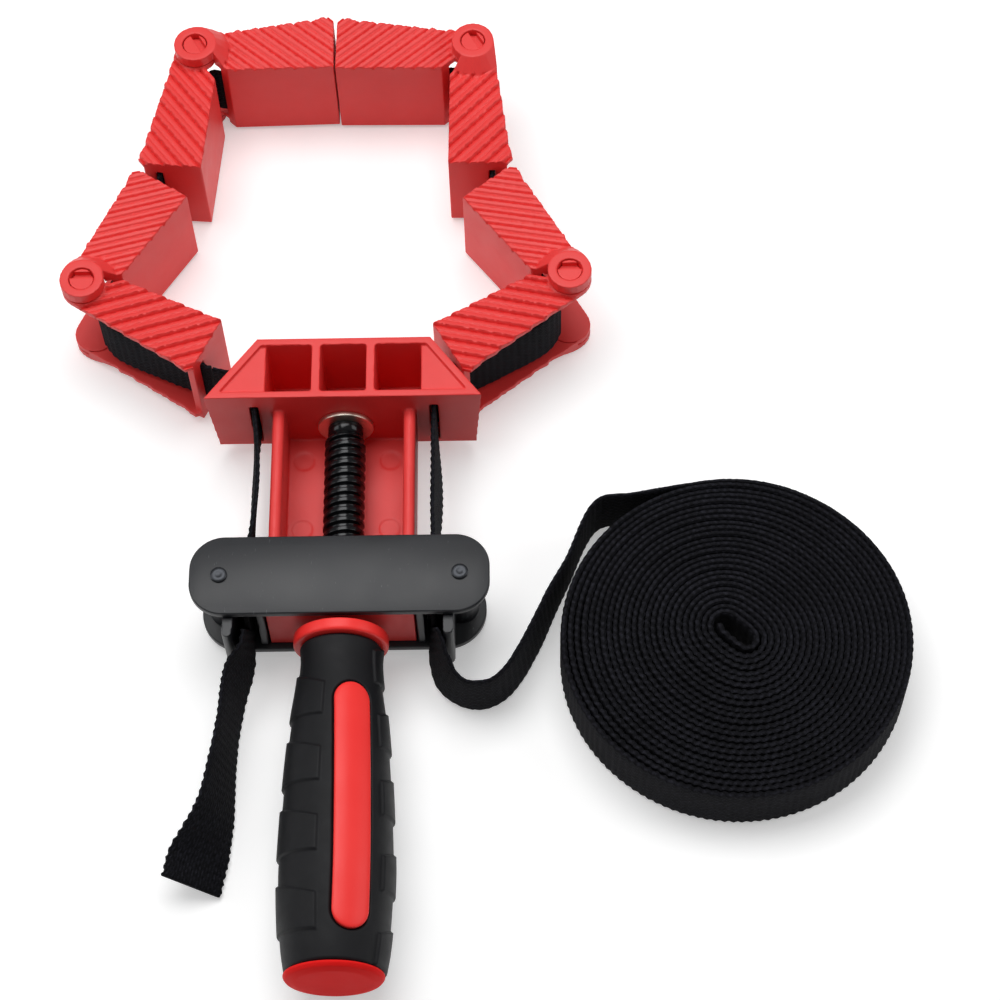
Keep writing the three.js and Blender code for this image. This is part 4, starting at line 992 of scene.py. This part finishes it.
def build_spindle():
    low, high = own_box("spindle")
    start = own_box("head_frame")[0].y + SPINDLE["end_wall"] + GAP
    end = SPINDLE["thread_end"]
    washer_near = own_box("washer")[0].y
    clip_low, clip_high = own_box("retaining_clip")[0].y, own_box("retaining_clip")[1].y
    root = SPINDLE["major"] - SPINDLE["depth"]
    shoulder, tip, groove, chamfer, clear = (
        SPINDLE[key] for key in ("shoulder", "tip", "groove", "chamfer", "clear")
    )
    rows = [(low.y, root), (start - chamfer, root), *thread_rows(start, end)]
    rows += [
        (end + 0.3, shoulder - chamfer), (end + 0.8, shoulder), (washer_near - clear, shoulder),
        (washer_near - clear, tip), (clip_low - clear, tip), (clip_low - clear, groove),
        (clip_high + clear, groove), (clip_high + clear, tip), (high.y - chamfer, tip),
        (high.y, tip - chamfer),
    ]
    points = []
    for y, radii in rows:
        for i, radius in enumerate(np.broadcast_to(radii, TURNED_STEPS)):
            angle = 2 * math.pi * i / TURNED_STEPS
            points.append((radius * math.cos(angle), y, AXIS_Z + radius * math.sin(angle)))
    faces = [tuple(reversed(f)) for f in ring_faces(len(rows), TURNED_STEPS)]
    piece = mesh_object("spindle_finish", points, faces, THREAD)
    sharpen(piece, 50)
    stand_for(piece, "spindle")


def build_washer():
    """A flat ring with rounded edges."""
    low, high = own_box("washer")
    inner = 5.5
    outer = (high.x - low.x) / 2
    edge = 0.35
    ease = edge * 0.3
    profile = [
        (low.y + edge, inner), (low.y, inner + edge), (low.y, outer - edge), (low.y + ease, outer - ease),
        (low.y + edge, outer), (high.y - edge, outer), (high.y - ease, outer - ease), (high.y, outer - edge),
        (high.y, inner + edge), (high.y - edge, inner),
    ]
    steps = 96
    points = []
    for i in range(steps):
        angle = 2 * math.pi * i / steps
        for y, radius in profile:
            points.append((radius * math.cos(angle), y, AXIS_Z + radius * math.sin(angle)))
    faces = ring_faces(steps, len(profile), joined=True)
    piece = mesh_object("washer_finish", points, faces, BRIGHT)
    sharpen(piece, 35)
    stand_for(piece, "washer")


build_spindle()
build_washer()
moulding("retaining_clip", BRIGHT, voxel=0.3)
moulding("nut", BRASS, voxel=0.5)


# Handle
HANDLE = {
    "grip_start": -26.4, "grip_end": -147.7, "inlay_turn": math.radians(20.4),
    "inlay_start": -45.6, "inlay_end": -137.0, "inlay_half": 6.9, "core": 10.5,
}
# Shares of the grip's length and of the axis height, where the grip would touch the table
GRIP_SHARES = [
    (0.00, 0.75), (0.05, 0.73), (0.12, 0.76), (0.24, 0.85), (0.42, 0.935),
    (0.62, 0.99), (0.72, 1.00), (0.86, 0.965), (0.94, 0.92), (1.00, 0.86),
]
GRIP_SHARE_STEP = 0.004
GRIP_INSET = 0.1            # keeps the smooth grip inside the solid's polygon
GRIP_END_CLEAR = 0.15
GRIP_END_DROP = 0.6         # rounding of the grip's two ends, over the width below
GRIP_END_WIDTH = 1.0
INLAY_GROOVE = 1.5          # depth of the groove round the inlay
INLAY_GROOVE_CLEAR = 0.2
INLAY_RISE = 0.12
# The inlay from its edge to its middle: share of its half width, and depth below its face
INLAY_ROWS = (
    (1.0, 3.0), (1.0, 0.9), (0.985, 0.45), (0.95, 0.18), (0.88, 0.05), (0.7, 0.0), (0.45, 0.0), (0.2, 0.0),
)
SOFT_EDGE = 0.7             # width of the slopes of the groove and the finger patches
PATCH_RISE = 0.9
PATCH_SINK_SHARE = 0.55     # of their rise, how far the skin between the patches lies under the outline
PATCHES = {                 # where the patches start at the inlay, on each side of it
    -1: (-39.0, -64.5, -90.3, -118.0),
    1: (-24.0, -49.5, -75.0, -102.5, -130.0),
}
PATCH_LENGTH = 17.8
PATCH_SLOPES = (0.115, 0.28)   # of the starting edge in mm for a degree, and the far edge's share of it
PATCH_ANGLES = (35.0, 91.0, 172.0)   # near end, where the start is measured, and far end
PATCH_RADIUS = 19.0


def grip_radius(y):
    """Smooth outline of the grip, held inside the polygon that the solid has."""
    share = (HANDLE["grip_start"] - y) / (HANDLE["grip_start"] - HANDLE["grip_end"])
    line = smooth_line([(a, b, 0.0) for a, b in GRIP_SHARES], GRIP_SHARE_STEP)
    return np.interp(share, line[:, 0], line[:, 1]) * AXIS_Z - GRIP_INSET


def past_inlay(arc, y):
    """Distance outside the inlay's outline, negative inside."""
    half = HANDLE["inlay_half"]
    nearest = np.clip(y, HANDLE["inlay_end"] + half, HANDLE["inlay_start"] - half)
    return np.hypot(arc, y - nearest) - half


def patch_shares(angle, y):
    """Share of their rise that the finger patches have at an angle from the inlay's middle line."""
    rise = np.zeros_like(y)
    near, level, far = PATCH_ANGLES
    for sign, starts in PATCHES.items():
        side = np.degrees(angle) * sign
        border = np.radians(np.minimum(side - near, far - side)) * PATCH_RADIUS
        slope = PATCH_SLOPES[0] * (level - side)
        for start in starts:
            top = start - slope
            bottom = start - PATCH_LENGTH - slope * PATCH_SLOPES[1]
            ends = np.minimum(top - y, y - bottom)
            rise = np.maximum(rise, soft_step(np.minimum(ends, border), SOFT_EDGE))
    return rise


def build_grip():
    """The rubber sleeve, with finger patches and a groove round the inlay, and its plain bore."""
    columns = 300
    stations = 320
    ys = np.linspace(HANDLE["grip_start"] - GRIP_END_CLEAR, HANDLE["grip_end"] + GRIP_END_CLEAR, stations)
    angles = np.linspace(-math.pi, math.pi, columns, endpoint=False)
    yy, aa = np.meshgrid(ys, angles, indexing="ij")
    rr = np.repeat(grip_radius(ys)[:, None], columns, 1)
    groove = INLAY_GROOVE * (1 - soft_step(past_inlay(aa * rr, yy) - INLAY_GROOVE_CLEAR, SOFT_EDGE))
    shape = rr + PATCH_RISE * (patch_shares(aa, yy) - PATCH_SINK_SHARE) - groove
    near_end = np.minimum(HANDLE["grip_start"] - yy, yy - HANDLE["grip_end"])
    shape -= GRIP_END_DROP * (1 - soft_step(near_end, GRIP_END_WIDTH))
    turned = aa + HANDLE["inlay_turn"]
    outside = np.stack([shape * np.sin(turned), yy, AXIS_Z + shape * np.cos(turned)], -1).reshape(-1, 3)
    bore = HANDLE["core"] + 0.2
    inside = [about_screw(y, bore, a) for y in (ys[-1], ys[0]) for a in angles + HANDLE["inlay_turn"]]
    faces = ring_faces(stations + 2, columns, joined=True)
    piece = mesh_object("handle_grip_finish", np.vstack([outside, inside]), faces, RUBBER)
    stand_for(piece, "handle_grip")


def inlay_outline():
    """Places (arc, y) round the inlay, each with the point of its middle line that it is measured from."""
    half = HANDLE["inlay_half"]
    end_steps = 40
    side_steps = 60
    near = HANDLE["inlay_start"] - half
    far = HANDLE["inlay_end"] + half
    outline = []
    for begin, finish, spine, other in ((0.0, math.pi, near, far), (math.pi, 2 * math.pi, far, near)):
        for angle in np.linspace(begin, finish, end_steps + 1):
            outline.append((half * math.cos(angle), spine + half * math.sin(angle), spine))
        across = half * math.cos(finish)
        outline += [(across, y, y) for y in np.linspace(spine, other, side_steps)[1:-1]]
    return outline


def build_inlay():
    """The bare crowned inlay."""
    outline = inlay_outline()
    points = []
    for share, drop in INLAY_ROWS:
        for arc, y, spine in outline:
            run = spine + (y - spine) * share
            radius = float(grip_radius(run))
            angle = arc * share / radius + HANDLE["inlay_turn"]
            points.append(about_screw(run, radius + INLAY_RISE - drop, angle))
    faces = ring_faces(len(INLAY_ROWS), len(outline))
    piece = mesh_object("handle_inlay_finish", points, faces, RED_GLOSS)
    mesh = bmesh.new()
    mesh.from_mesh(piece.data)
    bmesh.ops.triangulate(mesh, faces=[f for f in mesh.faces if len(f.verts) > 4])
    mesh.to_mesh(piece.data)
    mesh.free()
    stand_for(piece, "handle_inlay")


def build_core():
    """The red core with its collar, bored for the spindle."""
    low, high = own_box("handle_core")
    collar = (high.x - low.x) / 2
    chamfer = 1.2
    edge = 0.3
    bore = 6.5
    start = HANDLE["grip_start"] + GRIP_END_CLEAR
    bore_end = own_box("spindle")[0].y - GAP
    profile = rounded([
        (bore_end, 0.0), (bore_end, bore), (high.y, bore), (high.y, collar - chamfer),
        (high.y - edge, collar), (start, collar), (start, HANDLE["core"]), (low.y, HANDLE["core"]),
        (low.y, 0.0),
    ], 1.5)
    piece = turned_object("handle_core_finish", profile[::-1], RED_GLOSS, about_screw, steps=128)
    stand_for(piece, "handle_core")


def build_end_cap():
    """The cap with its domed edge."""
    low, high = own_box("handle_end_cap")
    cap = (high.x - low.x) / 2
    profile = rounded([
        (low.y, 0.0), (low.y + 0.3, cap * 0.78), (low.y + 1.2, cap * 0.95), (low.y + 2.4, cap),
        (high.y, cap), (high.y, 0.0),
    ], 0.8)
    piece = turned_object("handle_end_cap_finish", profile, RED_CAP_SHADED, about_screw, steps=128)
    sharpen(piece, 40)
    stand_for(piece, "handle_end_cap")


build_grip()
build_inlay()
build_core()
build_end_cap()


# Table, light and background
TABLE_HALF = 6.0
TABLE_Z = -0.0002
TABLE_GLOW = 0.36           # added where the camera or a reflection sees the table
WORLD_LIGHT = 0.22
WHITE = (1.0, 1.0, 1.0, 1.0)


def build_table():
    data = bpy.data.meshes.new("table")
    signs = ((-1, -1), (1, -1), (1, 1), (-1, 1))
    corners = [(TABLE_HALF * x, TABLE_HALF * y, TABLE_Z) for x, y in signs]
    data.from_pydata(corners, [], [(0, 1, 2, 3)])
    n = new_material("white_table")
    path = n.add("LightPath").outputs
    seen = n.maths("MAXIMUM", path["Is Glossy Ray"], path["Is Transmission Ray"])
    glow = n.maths("MULTIPLY", n.maths("MAXIMUM", path["Is Camera Ray"], seen), TABLE_GLOW)
    data.materials.append(n.finish(
        colour=(0.86, 0.86, 0.86, 1.0), roughness=0.9, specular=0.1, glow_colour=WHITE, glow=glow,
    ))
    new_object("table", data)


def build_world():
    n = Nodes(bpy.data.worlds.new("studio"), "Background")
    path = n.add("LightPath").outputs
    seen = n.maths("MAXIMUM", path["Is Camera Ray"], path["Is Transmission Ray"])
    bpy.context.scene.world = n.finish(strength=n.between(seen, WORLD_LIGHT, 1.0), light=WHITE)


def area_lamp(name, spot, aim, size, power):
    """A soft white lamp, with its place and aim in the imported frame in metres."""
    data = bpy.data.lights.new(name, "AREA")
    data.shape = "RECTANGLE"
    data.size, data.size_y = size
    data.energy = power
    lamp = new_object(name, data)
    lamp.location = spot
    lamp.rotation_euler = (Vector(aim) - Vector(spot)).to_track_quat("-Z", "Y").to_euler()


build_table()
build_world()
area_lamp("overhead", spot=(-0.1, 0.35, 1.25), aim=(0.03, 0.0, 0.0), size=(1.1, 0.8), power=11.6)
for lamp_side, lamp_sign in (("left_side", -1), ("right_side", 1)):
    area_lamp(lamp_side, spot=(lamp_sign, 0.1, 0.7), aim=(0.0, 0.05, 0.0), size=(0.6, 0.6), power=2.4)
bpy.context.scene.view_settings.view_transform = "Standard"
